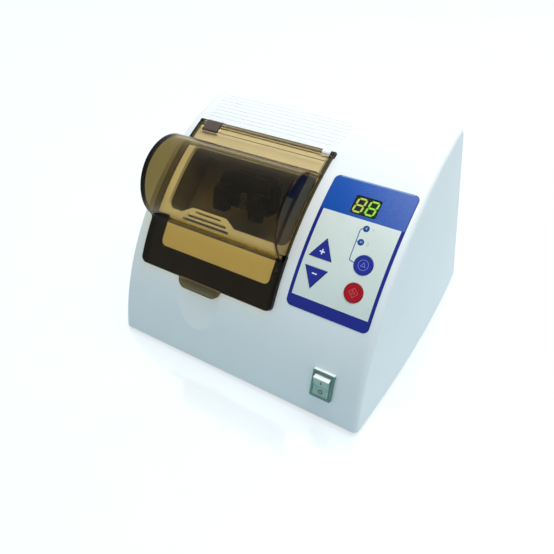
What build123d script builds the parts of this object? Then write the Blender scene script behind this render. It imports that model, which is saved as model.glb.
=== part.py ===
from build123d import *
import os
from math import atan2, cos, degrees, hypot, radians, sin, sqrt, tan

# A bench-top dental amalgamator: a white moulded casing with a curved front,
# a smoked cover over the mixing bay, a swinging arm with a capsule fork, its
# motor, a printed keypad and a mains switch.
# Millimetres. X runs to the right, Y to the back, Z up. The origin lies on
# the bench under the middle of the machine.

os.makedirs("parts", exist_ok=True)

# ---------------------------------------------------------------- casing
casing_width = 200.0  # across the bottom corners
casing_depth = 193.0  # along the bottom edge
casing_lift = 2.5  # the bottom edge stands clear of the bench
wall = 3.0
side_bow = 4.0  # how far each side bulges half-way along
side_draft = 4.0  # degrees, each side leans in
vault_radius = 166.5  # front and top are one arc
vault_start = 82.3  # degrees, slope of the arc at the bottom edge
rear_lean = 10.75  # degrees, the rear wall leans forward
ridge_radius = 10.0
edge_radius = 4.0
plan_overrun = 15.0

# ---------------------------------------------------------------- clearances
fit_gap = 0.05  # shaft or pin in its bore
seat_gap = 0.15  # a fixed piece in its seat
slide_gap = 0.3  # a moving piece beside its neighbour
screw_gap = 0.1  # screw in its hole, on the radius
blind_gap = 0.5  # a blind hole goes this much deeper than its screw
overrun = 1.0  # a cut reaches this far past the face it opens

# ---------------------------------------------------------------- screws
screw_radius = 1.5
screw_head_radius = 2.8
screw_head = 1.6
small_screw_radius = 1.25
small_head_radius = 2.3
small_head = 1.3

# ---------------------------------------------------------------- base
plate_thickness = 3.0
foot_radius = 7.5
foot_height = 3.0
foot_draft = 8.0
foot_inset_x = 26.0
foot_inset_y = 40.0
foot_boss_radius = 4.5
foot_boss_height = 6.0
foot_screw_length = 7.5
post_inset_x = 16.0
post_inset_y = 20.0
post_radius = 4.5
post_height = 24.0
post_rib = 3.0
base_screw_length = 12.0
base_vent_length = 40.0
base_vent_width = 3.0
base_vent_pitch = 8.0
base_vent_count = 5

# ---------------------------------------------------------------- cover
cover_inset = 14.5  # left edge of the cover from the left side of the casing
cover_low = 61.0  # arc length from the bottom edge up to the flap's edge
cover_gap = 0.5  # the cover stands this far off the casing
cover_thickness = 2.5
cover_corner = 4.5
bulge_radius = 31.0
bulge_arc = 125.8  # arc length up to the middle of the bulge
bulge_lift = 0.5
bulge_blend = 4.0
cover_flange = 1.2  # flat strip to the right of the bulge
tab_width = 35.0
tab_reach = 7.0
tab_corner = 6.5
tab_offset = 53.0  # middle of the tab from the cover's left edge
hinge_arc = 175.3
hinge_lift = 0.8
barrel_radius = 2.4
pin_radius = 1.0
pin_end_gap = 0.5
lug_width = 6.0
lug_offset = 6.0  # middle of the lug from the cover's right edge
clip_width = 13.0
clip_offset = 13.0  # middle of the clip from the cover's left edge
clip_reach = 8.3
clip_height = 2.7
clip_corner = 1.2
hinge_rib = 2.5
hinge_rib_half = 7.0
hinge_rib_end = 2.0

# ---------------------------------------------------------------- mixing bay
bay_margin_left = 7.5
bay_margin_right = 4.2
bay_arc = 130.75
bay_length = 52.5
bay_corner = 6.0
apron_low = 1.0
apron_height = 5.0
apron_foot = 48.0
apron_top = 28.0
apron_offset = 36.0  # middle of the apron from the bay's left edge
slot_first = 2.4  # top slot below the apron's upper edge
slots = ((22.0, 1.3, 0.0), (33.5, 1.7, 3.5), (40.0, 1.8, 6.5))  # length, width, drop
liner_wall = 2.0
liner_margin = 1.0
liner_depth = 28.0
floor_slot_margin = 2.4
floor_slot_shift = 0.8
ear_radius = 4.0
ear_thickness = 2.0
ear_boss = 5.0
ear_offset = 14.0
ear_reach = 5.0
bay_screw_length = 6.0
pad_width_left = 12.5
pad_width_right = 7.5
pad_width_low = 16.0
pad_length = 38.0
pad_depth = 1.0
pad_proud = 0.2
pad_corner = 4.0
sensor_width = 4.2
sensor_height = 2.5
sensor_depth = 5.0
sensor_offset = 3.75  # from the cover's right edge
sensor_arc = 88.0
sensor_chamfer = 0.1

# ---------------------------------------------------------------- front details
scoop_arc = 50.0
scoop_radius = 80.0
scoop_depth = 1.8
scoop_top = 10.0
scoop_bottom = 30.0
louvre_count = 8
louvre_pitch = 3.6
louvre_width = 1.2
louvre_depth = 0.7
louvre_start = 182.5
louvre_margin = 2.0

# ---------------------------------------------------------------- keypad
keypad_inset = 8.5  # right edge of the keypad from the right side of the casing
keypad_gap = 7.7  # between cover and keypad
keypad_width = 57.8
keypad_low = 70.4
keypad_length = 92.1
keypad_corner = 4.0
keypad_depth = 0.4
keypad_proud = 0.2
key_pocket = 0.8
key_rise = 0.4
key_travel = 0.4
key_floor_gap = 0.1
key_chamfer = 0.2
arrow_column = 13.3  # from the keypad's left edge
arrow_half = 7.7
arrow_apex = 8.7
arrow_foot = 4.3
arrow_corner = 0.8
up_row = 39.0  # from the keypad's lower edge
down_row = 23.7
round_column = 41.5
mode_row = 39.2
start_row = 21.3
round_key_radius = 6.15
stem_radius = 2.5
window_column = 28.35
window_row = 75.05
window_width = 17.5
window_height = 12.7
window_corner = 1.5
window_depth = 0.6
lamp_column = 34.55
lamp_rows = (61.3, 52.2)
lamp_radius = 1.5
lamp_proud = 0.3
lamp_dome = 0.9

# ---------------------------------------------------------------- electronics
board_width = 54.0
board_length = 84.0
board_thickness = 1.6
board_depth = 14.0
board_column = 28.3
board_row = 46.1
board_hole_x = 22.0
board_hole_y = 37.0
board_boss_radius = 3.5
board_screw_length = 7.0
button_size = 6.0
button_body = 3.4
plunger_radius = 1.7
plunger_rise = 1.0
plunger_gap = 0.8

# ---------------------------------------------------------------- mains switch
switch_inset = 28.1
switch_arc = 27.1
bezel_width = 15.4
bezel_length = 20.6
bezel_proud = 2.0
bezel_corner = 1.0
bezel_fillet = 0.5
switch_body_width = 13.0
switch_body_length = 18.4
switch_depth = 14.0
rocker_width = 11.0
rocker_half = 7.4
rocker_angle = 13.0
rocker_crown = 3.3
rocker_pivot = -1.0
rocker_skirt = 3.2
rocker_pin_radius = 1.2
rocker_pin_length = 0.8
rocker_corner = 0.6
spade_width = 4.8
spade_thickness = 0.8
spade_length = 8.0
spade_pitch = 5.0
spade_row = 7.0

# ---------------------------------------------------------------- drive
hub_back = 37.2  # hub from the bay's centre, up the slope
hub_drop = 59.9  # and below its surface
grip_front = 7.6  # capsule axis from the bay's centre, down the slope
grip_rise = -1.117
arm_offset = 44.8  # arm from the bay's right edge
shaft_radius = 4.0
shaft_left = 33.0
shaft_right = 45.0
journal_radius = 8.0
journal_length = 8.0
journal_tilt = 6.0
journal_gap = 0.9
collar_radius = 6.0
ring_radius = 15.0
arm_width = 10.0
arm_height = 12.0
tail_length = 33.0
tail_width = 8.0
tail_height = 4.0
root_fillet = 5.0
swing = 5.0
frame_plate = 4.0
bearing_offset = 25.0
motor_offset = 23.0
upright_radius = 24.0
frame_span_y = 56.0
frame_left = 33.0
frame_right = 84.0
buffer_radius = 8.0
buffer_height = 20.0
buffer_inset_x = 17.0
buffer_inset_y = 11.0
buffer_waist = 1.0
buffer_thread = 6.0
web_offset = 26.0
web_thickness = 3.0
guide_width = 17.0
motor_radius = 27.0
motor_length = 50.0
motor_cap_radius = 20.0
motor_cap = 7.0
motor_edge = 2.0
pilot_radius = 12.0
pilot_height = 2.0
motor_screw_circle = 18.0
motor_screw_length = 7.0
bush_radius = 8.0
bush_flange_radius = 10.0
bush_flange = 1.5

# ---------------------------------------------------------------- fork
head_back = 57.0
head_thickness = 12.0
head_width = 44.0
head_low = 6.5
head_high = 18.5
head_top_corner = 11.0
head_low_corner = 3.0
head_edge = 1.2
jaw_gap = 22.0
jaw_thickness = 7.0
jaw_height = 19.0
jaw_tip = 80.0
jaw_corner = 5.0
jaw_pivot = 63.5
jaw_root_gap = 1.5
lug_half = 5.0
jaw_pin_radius = 1.5
jaw_pin_length = 20.0
cup_radius = 4.5
cup_depth = 1.5
fork_screw_length = 18.0
fork_screw_spread = 3.2

# ---------------------------------------------------------------- rear wall
inlet_inset = 45.0
inlet_rise = 28.0
inlet_width = 27.0
inlet_height = 19.8
inlet_depth = 18.0
inlet_flange_width = 50.0
inlet_flange_height = 24.0
inlet_flange = 2.0
inlet_flange_corner = 5.0
inlet_screw_spread = 20.0
inlet_screw_length = 7.0
socket_width = 23.6
socket_height = 16.2
socket_depth = 15.0
socket_chamfer = 4.5
contact_pitch = 7.0
contact_row = -1.0
earth_row = 3.0
contact_length = 12.0
contact_thickness = 2.0
contact_height = 4.0
fuse_offset = 42.0  # from the middle of the inlet
fuse_radius = 6.2
fuse_depth = 22.0
fuse_cap_radius = 7.5
fuse_cap = 4.0
fuse_nut_radius = 8.5
fuse_nut = 3.5
vent_count = 7
vent_length = 46.0
vent_width = 3.0
vent_pitch = 8.0
vent_rise = 62.0
vent_offset = 50.0  # middle of the vents from the middle of the casing

# ---------------------------------------------------------------- derived values
half_width = casing_width / 2
half_depth = casing_depth / 2
vault_y = -half_depth + vault_radius * sin(radians(vault_start))
vault_z = casing_lift - vault_radius * cos(radians(vault_start))
bow_radius = (half_depth**2 + side_bow**2) / (2 * side_bow)
base_bottom = foot_height
base_top = base_bottom + plate_thickness

keypad_right = half_width - keypad_inset
keypad_left = keypad_right - keypad_width
cover_left = -half_width + cover_inset
cover_right = keypad_left - keypad_gap
cover_outer = cover_gap + cover_thickness
bulge_right = cover_right - cover_flange
bay_left = cover_left + bay_margin_left
bay_right = cover_right - bay_margin_right
bay_width = bay_right - bay_left
bay_x = (bay_left + bay_right) / 2
arm_x = bay_right - arm_offset
tab_x = cover_left + tab_offset
lug_x = cover_right - lug_offset
clip_x = cover_left + clip_offset
inlet_x = half_width - inlet_inset
fuse_x = inlet_x - fuse_offset


def vault_angle(arc):
    """Slope of the front, in degrees, at an arc length from the bottom edge."""
    return vault_start - degrees(arc / vault_radius)


def vault_plane(x, arc, height=0.0):
    """Plane on the front: local x to the right, y up the slope, z outward."""
    angle = radians(vault_angle(arc))
    reach = vault_radius + height
    spot = (x, vault_y - reach * sin(angle), vault_z + reach * cos(angle))
    return Plane(origin=spot, x_dir=(1, 0, 0), z_dir=(0, -sin(angle), cos(angle)))


def side_plane(x, arc, height=0.0):
    """Plane across the front: local x up the slope, y outward, z to the right."""
    front = vault_plane(x, arc, height)
    return Plane(origin=front.origin, x_dir=front.y_dir, z_dir=(1, 0, 0))


def vault_outline(arc_low, arc_high, low, high):
    """Curved strip between two heights over the front, drawn flat as (y, z)."""
    start = 90 + vault_angle(arc_high)
    sweep_angle = vault_angle(arc_low) - vault_angle(arc_high)
    with BuildSketch() as strip:
        with BuildLine():
            under = CenterArc((vault_y, vault_z), vault_radius + low, start, sweep_angle)
            over = CenterArc((vault_y, vault_z), vault_radius + high, start, sweep_angle)
            Line(under @ 0, over @ 0)
            Line(under @ 1, over @ 1)
        make_face()
    return strip.sketch_local


def vault_band(x_low, arc_low, arc_high, low, high):
    """The curved strip as a face across the machine, at a place along X."""
    with BuildSketch(Plane.YZ.offset(x_low)) as band:
        add(vault_outline(arc_low, arc_high, low, high))
    return band.sketch


def side_reach(y):
    """Half width of the casing at its bottom edge, at a place along its depth."""
    return half_width + side_bow - bow_radius + sqrt(bow_radius**2 - y**2)


def casing_block(inset, ridge):
    """The casing as one solid, drawn in everywhere but at the bottom."""
    radius = vault_radius - inset
    bottom = casing_lift - vault_z
    front = vault_y - sqrt(radius**2 - bottom**2)
    back = half_depth - inset / cos(radians(rear_lean))
    slope = tan(radians(rear_lean))
    # where the leaning rear line meets the arc
    a = 1 + slope**2
    b = 2 * (bottom - slope * (back - vault_y))
    c = (back - vault_y) ** 2 + bottom**2 - radius**2
    rise = (-b + sqrt(b**2 - 4 * a * c)) / (2 * a)
    top_y = back - slope * rise
    top_z = casing_lift + rise
    angle_front = atan2(vault_y - front, bottom)
    angle_top = atan2(vault_y - top_y, top_z - vault_z)
    middle = (angle_front + angle_top) / 2
    mid_point = (vault_y - radius * sin(middle), vault_z + radius * cos(middle))
    plan_half = half_depth + plan_overrun
    end_reach = side_reach(plan_half) - inset
    mid_reach = side_reach(0) - inset
    with BuildPart() as block:
        with BuildSketch(Plane.XY.offset(casing_lift)):
            with BuildLine():
                right = ThreePointArc((end_reach, -plan_half), (mid_reach, 0), (end_reach, plan_half))
                left = ThreePointArc((-end_reach, plan_half), (-mid_reach, 0), (-end_reach, -plan_half))
                Line(right @ 1, left @ 0)
                Line(left @ 1, right @ 0)
            make_face()
        extrude(amount=top_z + ridge, taper=side_draft)
        with BuildSketch(Plane.YZ.offset(-casing_width)) as side_view:
            with BuildLine():
                ThreePointArc((front, casing_lift), mid_point, (top_y, top_z))
                Line((top_y, top_z), (back, casing_lift))
                Line((back, casing_lift), (front, casing_lift))
            make_face()
            fillet(side_view.vertices().sort_by(Axis.Y)[-1], ridge)
        extrude(amount=2 * casing_width, mode=Mode.INTERSECT)
    return block.part


def rear_plane(x, rise, out=0.0):
    """Plane on the rear wall, seen from behind: y up the wall, z outward."""
    lean = radians(rear_lean)
    y = half_depth - rise * sin(lean) + out * cos(lean)
    z = casing_lift + rise * cos(lean) + out * sin(lean)
    return Plane(origin=(x, y, z), x_dir=(-1, 0, 0), z_dir=(0, cos(lean), sin(lean)))


def corner_spots(x, y):
    """The four places at plus and minus x and y."""
    return [(-x, -y), (x, -y), (-x, y), (x, y)]


def keypad_sheet(grow, low, high):
    """The keypad's outline as a curved sheet, grown all round."""
    with BuildPart() as sheet:
        band = vault_band(
            keypad_left - grow, keypad_low - grow, keypad_low + keypad_length + grow, low, high
        )
        extrude(band, amount=keypad_width + 2 * grow, dir=(1, 0, 0))
        fillet(sheet.edges().sort_by(SortBy.LENGTH)[:4], keypad_corner + grow)
    return sheet.part


def pad_sheet(grow, high):
    """The U-shaped rest pad, grown all round."""
    inner_left = cover_left + pad_width_left + grow
    inner_right = cover_right - pad_width_right - grow
    inner_low = cover_low + pad_width_low + grow
    pad_top = cover_low + pad_length + grow
    with BuildPart() as window:
        hollow = vault_band(inner_left, inner_low, pad_top + overrun, -2 * pad_depth, high + pad_depth)
        extrude(hollow, amount=inner_right - inner_left, dir=(1, 0, 0))
        posts = window.edges().sort_by(SortBy.LENGTH)[:4]
        fillet(posts.sort_by(Axis.Z)[:2], pad_corner)
    with BuildPart() as sheet:
        band = vault_band(cover_left - grow, cover_low - grow, pad_top, -pad_depth, high)
        extrude(band, amount=cover_right - cover_left + 2 * grow, dir=(1, 0, 0))
        posts = sheet.edges().sort_by(SortBy.LENGTH)[:4]
        fillet(posts.sort_by(Axis.Z)[:2], pad_corner)
        add(window.part, mode=Mode.SUBTRACT)
    return sheet.part


def arrow_outline(turn, grow):
    """Rounded triangle of an arrow key, pointing up the slope or down it."""
    with BuildSketch() as outline:
        with BuildLine():
            Polyline(
                (-arrow_half, -arrow_foot * turn),
                (arrow_half, -arrow_foot * turn),
                (0, arrow_apex * turn),
                close=True,
            )
        make_face()
        fillet(outline.vertices(), arrow_corner)
        if grow > 0:
            offset(amount=grow)
    return outline.sketch_local


# Middle of the cover's bulge in the side view
bulge_y = vault_plane(0, bulge_arc, bulge_lift).origin.Y
bulge_z = vault_plane(0, bulge_arc, bulge_lift).origin.Z

# Places on the keypad, as distance across and arc length up
up_spot = (keypad_left + arrow_column, keypad_low + up_row)
down_spot = (keypad_left + arrow_column, keypad_low + down_row)
mode_spot = (keypad_left + round_column, keypad_low + mode_row)
start_spot = (keypad_left + round_column, keypad_low + start_row)
window_spot = (keypad_left + window_column, keypad_low + window_row)
lamp_spots = [(keypad_left + lamp_column, keypad_low + row) for row in lamp_rows]
board_plane = vault_plane(keypad_left + board_column, keypad_low + board_row, -board_depth)
pocket_floor = -keypad_depth - key_pocket
key_under = pocket_floor + key_floor_gap + key_travel
switch_plane = vault_plane(half_width - switch_inset, switch_arc)

# The drive's own frame: the hub, the arm's direction and the line square to it
bay_plane = vault_plane(bay_x, bay_arc)
hub = bay_plane.from_local_coords(Vector(arm_x - bay_x, hub_back, -hub_drop))
grip = bay_plane.from_local_coords(Vector(arm_x - bay_x, -grip_front, grip_rise))
arm_dir = (grip - hub).normalized()
swing_dir = Vector(0, arm_dir.Z, -arm_dir.Y)
shaft_y = hub.Y
shaft_z = hub.Z
frame_z = base_top + buffer_height
frame_top = frame_z + frame_plate


def arm_plane(along, across=0.0):
    """Plane square to the arm: x to the right, y along the swing axis, z to the fork."""
    return Plane(origin=hub + arm_dir * along + Vector(across, 0, 0), x_dir=(1, 0, 0), z_dir=arm_dir)


def arm_view(across):
    """Plane along the arm, seen from the left: x to the fork, y along the swing axis."""
    return Plane(origin=hub + Vector(across, 0, 0), x_dir=arm_dir, z_dir=(-1, 0, 0))


def pivot_plane(along, across, rise):
    """Plane square to the swing axis: x to the left, y along the arm to the fork."""
    spot = hub + arm_dir * along + Vector(across, 0, 0) + swing_dir * rise
    return Plane(origin=spot, x_dir=(-1, 0, 0), z_dir=swing_dir)


def hinge_section(x):
    """Plane across the cover's hinge, its origin on the hinge axis."""
    return side_plane(x, hinge_arc, hinge_lift)


# ================================================================ casing shell
post_x = half_width - post_inset_x
post_y = half_depth - post_inset_y
post_top = base_top + post_height
rib_end = side_reach(post_y) - tan(radians(side_draft)) * post_top - wall / 2
board_fall = vault_radius - sqrt(vault_radius**2 - board_hole_y**2)
ear_x = bay_width / 2 + liner_margin + liner_wall + ear_reach
ear_spots = [(bay_x + sx * ear_x, bay_arc + sy * ear_offset) for sx in (-1, 1) for sy in (-1, 1)]
sensor_plane = vault_plane(cover_right - sensor_offset, sensor_arc)

with BuildPart() as casing_shell:
    add(casing_block(0, ridge_radius))
    left_side = casing_shell.faces().sort_by(Axis.X)[0]
    right_side = casing_shell.faces().sort_by(Axis.X)[-1]
    side_edges = left_side.edges() + right_side.edges()
    fillet(side_edges.filter_by(lambda e: e.center().Z > casing_lift + overrun), edge_radius)
    add(casing_block(wall, ridge_radius - wall), mode=Mode.SUBTRACT)
    # posts for the base screws, each with a rib to its side wall
    with BuildSketch(Plane.XY.offset(base_top)):
        with Locations(*corner_spots(post_x, post_y)):
            Circle(post_radius)
        with Locations(*corner_spots((post_x + rib_end) / 2, post_y)):
            Rectangle(rib_end - post_x, post_rib)
    extrude(amount=post_height)
    with BuildSketch(Plane.XY.offset(base_top)):
        with Locations(*corner_spots(post_x, post_y)):
            Circle(screw_radius + screw_gap)
    extrude(amount=base_screw_length, mode=Mode.SUBTRACT)
    # a rib inside the wall carries the hinge groove
    rib_band = vault_band(
        cover_left - hinge_rib_end,
        hinge_arc - hinge_rib_half,
        hinge_arc + hinge_rib_half,
        -wall - hinge_rib,
        -wall / 2,
    )
    extrude(rib_band, amount=cover_right - cover_left + 2 * hinge_rib_end, dir=(1, 0, 0))
    # bosses for the control board, square to the board
    with BuildSketch(board_plane):
        with Locations(*corner_spots(board_hole_x, board_hole_y)):
            Circle(board_boss_radius)
    extrude(amount=board_depth - board_fall - wall / 2)
    with BuildSketch(board_plane):
        with Locations(*corner_spots(board_hole_x, board_hole_y)):
            Circle(small_screw_radius + screw_gap)
    extrude(amount=board_screw_length - board_thickness + blind_gap, mode=Mode.SUBTRACT)
    # bosses for the bay liner
    for spot in ear_spots:
        with BuildSketch(vault_plane(*spot, -wall - ear_boss)):
            Circle(ear_radius)
        extrude(amount=ear_boss + wall / 2)
        with BuildSketch(vault_plane(*spot, -wall - ear_boss)):
            Circle(small_screw_radius + screw_gap)
        extrude(amount=bay_screw_length - ear_thickness + blind_gap, mode=Mode.SUBTRACT)
    # the mixing bay's opening, with a slotted apron at its lower edge
    with BuildSketch(bay_plane):
        RectangleRounded(bay_width, bay_length, bay_corner)
        with BuildSketch(mode=Mode.SUBTRACT):
            with BuildLine():
                Polyline(
                    (bay_left - bay_x + apron_offset - apron_foot / 2, -bay_length / 2 - apron_low),
                    (bay_left - bay_x + apron_offset - apron_top / 2, -bay_length / 2 + apron_height),
                    (bay_left - bay_x + apron_offset + apron_top / 2, -bay_length / 2 + apron_height),
                    (bay_left - bay_x + apron_offset + apron_foot / 2, -bay_length / 2 - apron_low),
                    close=True,
                )
            make_face()
    extrude(amount=3 * wall, both=True, mode=Mode.SUBTRACT)
    for slot_length, slot_width, slot_drop in slots:
        slot_y = -bay_length / 2 + apron_height - slot_first - slot_drop
        with BuildSketch(bay_plane):
            with Locations((bay_left - bay_x + apron_offset, slot_y)):
                SlotOverall(slot_length, slot_width)
        extrude(amount=3 * wall, both=True, mode=Mode.SUBTRACT)
    # the hinge groove, and the lug that holds the pin's right end
    with BuildSketch(hinge_section(cover_left - pin_end_gap)):
        Circle(barrel_radius + cover_gap)
    extrude(amount=cover_right - cover_left + 2 * pin_end_gap, mode=Mode.SUBTRACT)
    with BuildSketch(hinge_section(lug_x - lug_width / 2)):
        Circle(barrel_radius)
        with Locations((0, -barrel_radius)):
            Rectangle(2 * barrel_radius, 2 * barrel_radius)
        Circle(pin_radius + fit_gap, mode=Mode.SUBTRACT)
    extrude(amount=lug_width)
    # recesses for the keypad and the rest pad
    add(keypad_sheet(seat_gap, -keypad_depth, overrun), mode=Mode.SUBTRACT)
    add(pad_sheet(seat_gap, overrun), mode=Mode.SUBTRACT)
    # key pockets with their stem holes
    for spot, turn in ((up_spot, 1), (down_spot, -1)):
        with BuildSketch(vault_plane(*spot, pocket_floor)):
            add(arrow_outline(turn, slide_gap))
        extrude(amount=key_pocket + overrun, mode=Mode.SUBTRACT)
    for spot in (mode_spot, start_spot):
        with BuildSketch(vault_plane(*spot, pocket_floor)):
            Circle(round_key_radius + slide_gap)
        extrude(amount=key_pocket + overrun, mode=Mode.SUBTRACT)
    for spot in (up_spot, down_spot, mode_spot, start_spot):
        with BuildSketch(vault_plane(*spot)):
            Circle(stem_radius + slide_gap)
        extrude(amount=-2 * wall, mode=Mode.SUBTRACT)
    # openings for display, lamps, cover sensor and mains switch
    with BuildSketch(vault_plane(*window_spot)):
        RectangleRounded(window_width + 4 * seat_gap, window_height + 4 * seat_gap, window_corner)
    extrude(amount=2 * wall, both=True, mode=Mode.SUBTRACT)
    for spot in lamp_spots:
        with BuildSketch(vault_plane(*spot)):
            Circle(lamp_radius + seat_gap)
        extrude(amount=2 * wall, both=True, mode=Mode.SUBTRACT)
    with BuildSketch(sensor_plane):
        Rectangle(sensor_width + 2 * seat_gap, sensor_height + 2 * seat_gap)
    extrude(amount=2 * wall, both=True, mode=Mode.SUBTRACT)
    with BuildSketch(switch_plane):
        Rectangle(switch_body_width + 2 * seat_gap, switch_body_length + 2 * seat_gap)
    extrude(amount=2 * wall, both=True, mode=Mode.SUBTRACT)
    # the finger scoop under the cover's tab
    scoop_front = vault_plane(tab_x, scoop_arc)
    with BuildSketch(
        Plane(
            origin=scoop_front.origin - scoop_front.y_dir * scoop_bottom,
            x_dir=(1, 0, 0),
            z_dir=scoop_front.y_dir,
        )
    ):
        with Locations((0, scoop_depth - scoop_radius)):
            Circle(scoop_radius)
    extrude(amount=scoop_bottom + scoop_top, mode=Mode.SUBTRACT)
    # blind louvre grooves behind the cover
    for row in range(louvre_count):
        groove_arc = louvre_start + row * louvre_pitch
        groove = vault_band(
            cover_left + louvre_margin, groove_arc, groove_arc + louvre_width, -louvre_depth, overrun
        )
        extrude(
            groove,
            amount=cover_right - cover_left - 2 * louvre_margin,
            dir=(1, 0, 0),
            mode=Mode.SUBTRACT,
        )
    # rear wall: inlet, fuse holder and vents
    with BuildSketch(rear_plane(inlet_x, inlet_rise)):
        Rectangle(inlet_width + 2 * seat_gap, inlet_height + 2 * seat_gap)
        with Locations((-inlet_screw_spread, 0), (inlet_screw_spread, 0)):
            Circle(screw_radius + screw_gap)
    extrude(amount=2 * wall, both=True, mode=Mode.SUBTRACT)
    with BuildSketch(rear_plane(fuse_x, inlet_rise)):
        Circle(fuse_radius + seat_gap)
    extrude(amount=2 * wall, both=True, mode=Mode.SUBTRACT)
    with BuildSketch(rear_plane(-vent_offset, vent_rise)):
        with Locations(*[(0, row * vent_pitch) for row in range(vent_count)]):
            SlotOverall(vent_length, vent_width)
    extrude(amount=2 * wall, both=True, mode=Mode.SUBTRACT)
casing_shell.part.label = "casing_shell"
export_step(casing_shell.part, "parts/casing_shell.step")

# ================================================================ base
foot_x = half_width - foot_inset_x
foot_y = half_depth - foot_inset_y
buffer_x = (arm_x - frame_left + buffer_inset_x, arm_x + frame_right - buffer_inset_x)
buffer_reach = frame_span_y / 2 - buffer_inset_y
buffer_y = (shaft_y - buffer_reach, shaft_y + buffer_reach)
buffer_spots = [(x, y) for x in buffer_x for y in buffer_y]

with BuildPart() as base_plate:
    add(casing_block(wall + 2 * seat_gap, ridge_radius - wall))
    with BuildSketch(Plane.XY.offset(base_bottom)):
        Rectangle(2 * casing_width, 2 * casing_depth)
    extrude(amount=plate_thickness, mode=Mode.INTERSECT)
    # bosses for the feet
    with BuildSketch(Plane.XY.offset(base_top)):
        with Locations(*corner_spots(foot_x, foot_y)):
            Circle(foot_boss_radius)
    extrude(amount=foot_boss_height)
    with BuildSketch(Plane.XY.offset(base_bottom)):
        with Locations(*corner_spots(foot_x, foot_y)):
            Circle(screw_radius + screw_gap)
    extrude(amount=foot_screw_length, mode=Mode.SUBTRACT)
    # sunk holes for the screws into the posts and the buffers
    with BuildSketch(Plane.XY.offset(base_bottom)):
        with Locations(*corner_spots(post_x, post_y)):
            Circle(screw_radius + screw_gap)
        with Locations(*buffer_spots):
            Circle(screw_radius + screw_gap)
    extrude(amount=plate_thickness, mode=Mode.SUBTRACT)
    with BuildSketch(Plane.XY.offset(base_bottom)):
        with Locations(*corner_spots(post_x, post_y)):
            Circle(screw_head_radius + screw_gap)
        with Locations(*buffer_spots):
            Circle(screw_head_radius + screw_gap)
    extrude(amount=screw_head, mode=Mode.SUBTRACT)
    # cooling slots
    with BuildSketch(Plane.XY.offset(base_bottom)):
        with Locations(*[(0, -foot_y + row * base_vent_pitch) for row in range(base_vent_count)]):
            SlotOverall(base_vent_length, base_vent_width)
    extrude(amount=plate_thickness, mode=Mode.SUBTRACT)
base_plate.part.label = "base_plate"
export_step(base_plate.part, "parts/base_plate.step")

with BuildPart() as rubber_feet:
    with BuildSketch(Plane.XY.offset(foot_height)):
        with Locations(*corner_spots(foot_x, foot_y)):
            Circle(foot_radius)
    extrude(amount=-foot_height, taper=foot_draft)
    with BuildSketch():
        with Locations(*corner_spots(foot_x, foot_y)):
            Circle(screw_radius + screw_gap)
    extrude(amount=foot_height, mode=Mode.SUBTRACT)
    with BuildSketch():
        with Locations(*corner_spots(foot_x, foot_y)):
            Circle(screw_head_radius + screw_gap)
    extrude(amount=foot_height / 2, mode=Mode.SUBTRACT)
rubber_feet.part.label = "rubber_feet"
export_step(rubber_feet.part, "parts/rubber_feet.step")


def screw_set(planes, shank_radius, length, head_radius, head):
    """Flat-headed screws: each plane lies under a head and looks along the shank."""
    with BuildPart() as screws:
        for plane in planes:
            with BuildSketch(plane):
                Circle(shank_radius)
            extrude(amount=length)
            with BuildSketch(plane):
                Circle(head_radius)
            extrude(amount=-head)
    return screws.part


def upward(spots, height):
    """Planes at one height, looking up."""
    return [Plane(origin=(x, y, height), z_dir=(0, 0, 1)) for x, y in spots]


foot_screws = screw_set(
    upward(corner_spots(foot_x, foot_y), foot_height / 2),
    screw_radius,
    foot_screw_length,
    screw_head_radius,
    foot_height / 2 - seat_gap,
)
foot_screws.label = "foot_screws"
export_step(foot_screws, "parts/foot_screws.step")

base_screws = screw_set(
    upward(corner_spots(post_x, post_y), base_bottom + screw_head),
    screw_radius,
    base_screw_length,
    screw_head_radius,
    screw_head - seat_gap,
)
base_screws.label = "base_screws"
export_step(base_screws, "parts/base_screws.step")

# ================================================================ mixing bay
tub_width = bay_width + 2 * (liner_margin + liner_wall)
tub_length = bay_length + 2 * (liner_margin + liner_wall)
arm_slope = atan2(hub_drop + grip_rise, hub_back + grip_front)
slot_middle = hub_back - (hub_drop - liner_depth) / tan(arm_slope)
slot_half = arm_height / 2 / sin(arm_slope) + floor_slot_margin
floor_swing = (hub_drop - liner_depth) / sin(arm_slope) * sin(radians(swing))
slot_reach = arm_width / 2 + floor_swing + liner_wall

with BuildPart() as bay_liner:
    with BuildSketch(bay_plane):
        RectangleRounded(tub_width, tub_length, bay_corner + liner_margin + liner_wall)
    extrude(amount=-liner_depth - liner_wall)
    with BuildSketch(bay_plane):
        RectangleRounded(
            tub_width - 2 * liner_wall, tub_length - 2 * liner_wall, bay_corner + liner_margin
        )
    extrude(amount=-liner_depth, mode=Mode.SUBTRACT)
    # the tub's rim meets the inside of the casing
    rim_cut = vault_band(bay_x - tub_width, bay_arc - bay_length, bay_arc + bay_length, -wall, wall)
    extrude(rim_cut, amount=2 * tub_width, dir=(1, 0, 0), mode=Mode.SUBTRACT)
    # the arm comes up through the floor
    with BuildSketch(bay_plane.offset(-liner_depth - 2 * liner_wall)):
        with Locations((arm_x - bay_x, slot_middle + floor_slot_shift)):
            RectangleRounded(2 * slot_reach, 2 * slot_half, liner_wall)
    extrude(amount=3 * liner_wall, mode=Mode.SUBTRACT)
    # ears under the casing's bosses
    for spot in ear_spots:
        inward = 1 if spot[0] < bay_x else -1
        with BuildSketch(vault_plane(*spot, -wall - ear_boss - ear_thickness)):
            Circle(ear_radius)
            with Locations((inward * ear_reach / 2, 0)):
                Rectangle(ear_reach + liner_wall / 2, 2 * ear_radius)
        extrude(amount=ear_thickness)
        with BuildSketch(vault_plane(*spot, -wall - ear_boss - ear_thickness)):
            Circle(small_screw_radius + screw_gap)
        extrude(amount=ear_thickness, mode=Mode.SUBTRACT)
bay_liner.part.label = "bay_liner"
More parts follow.
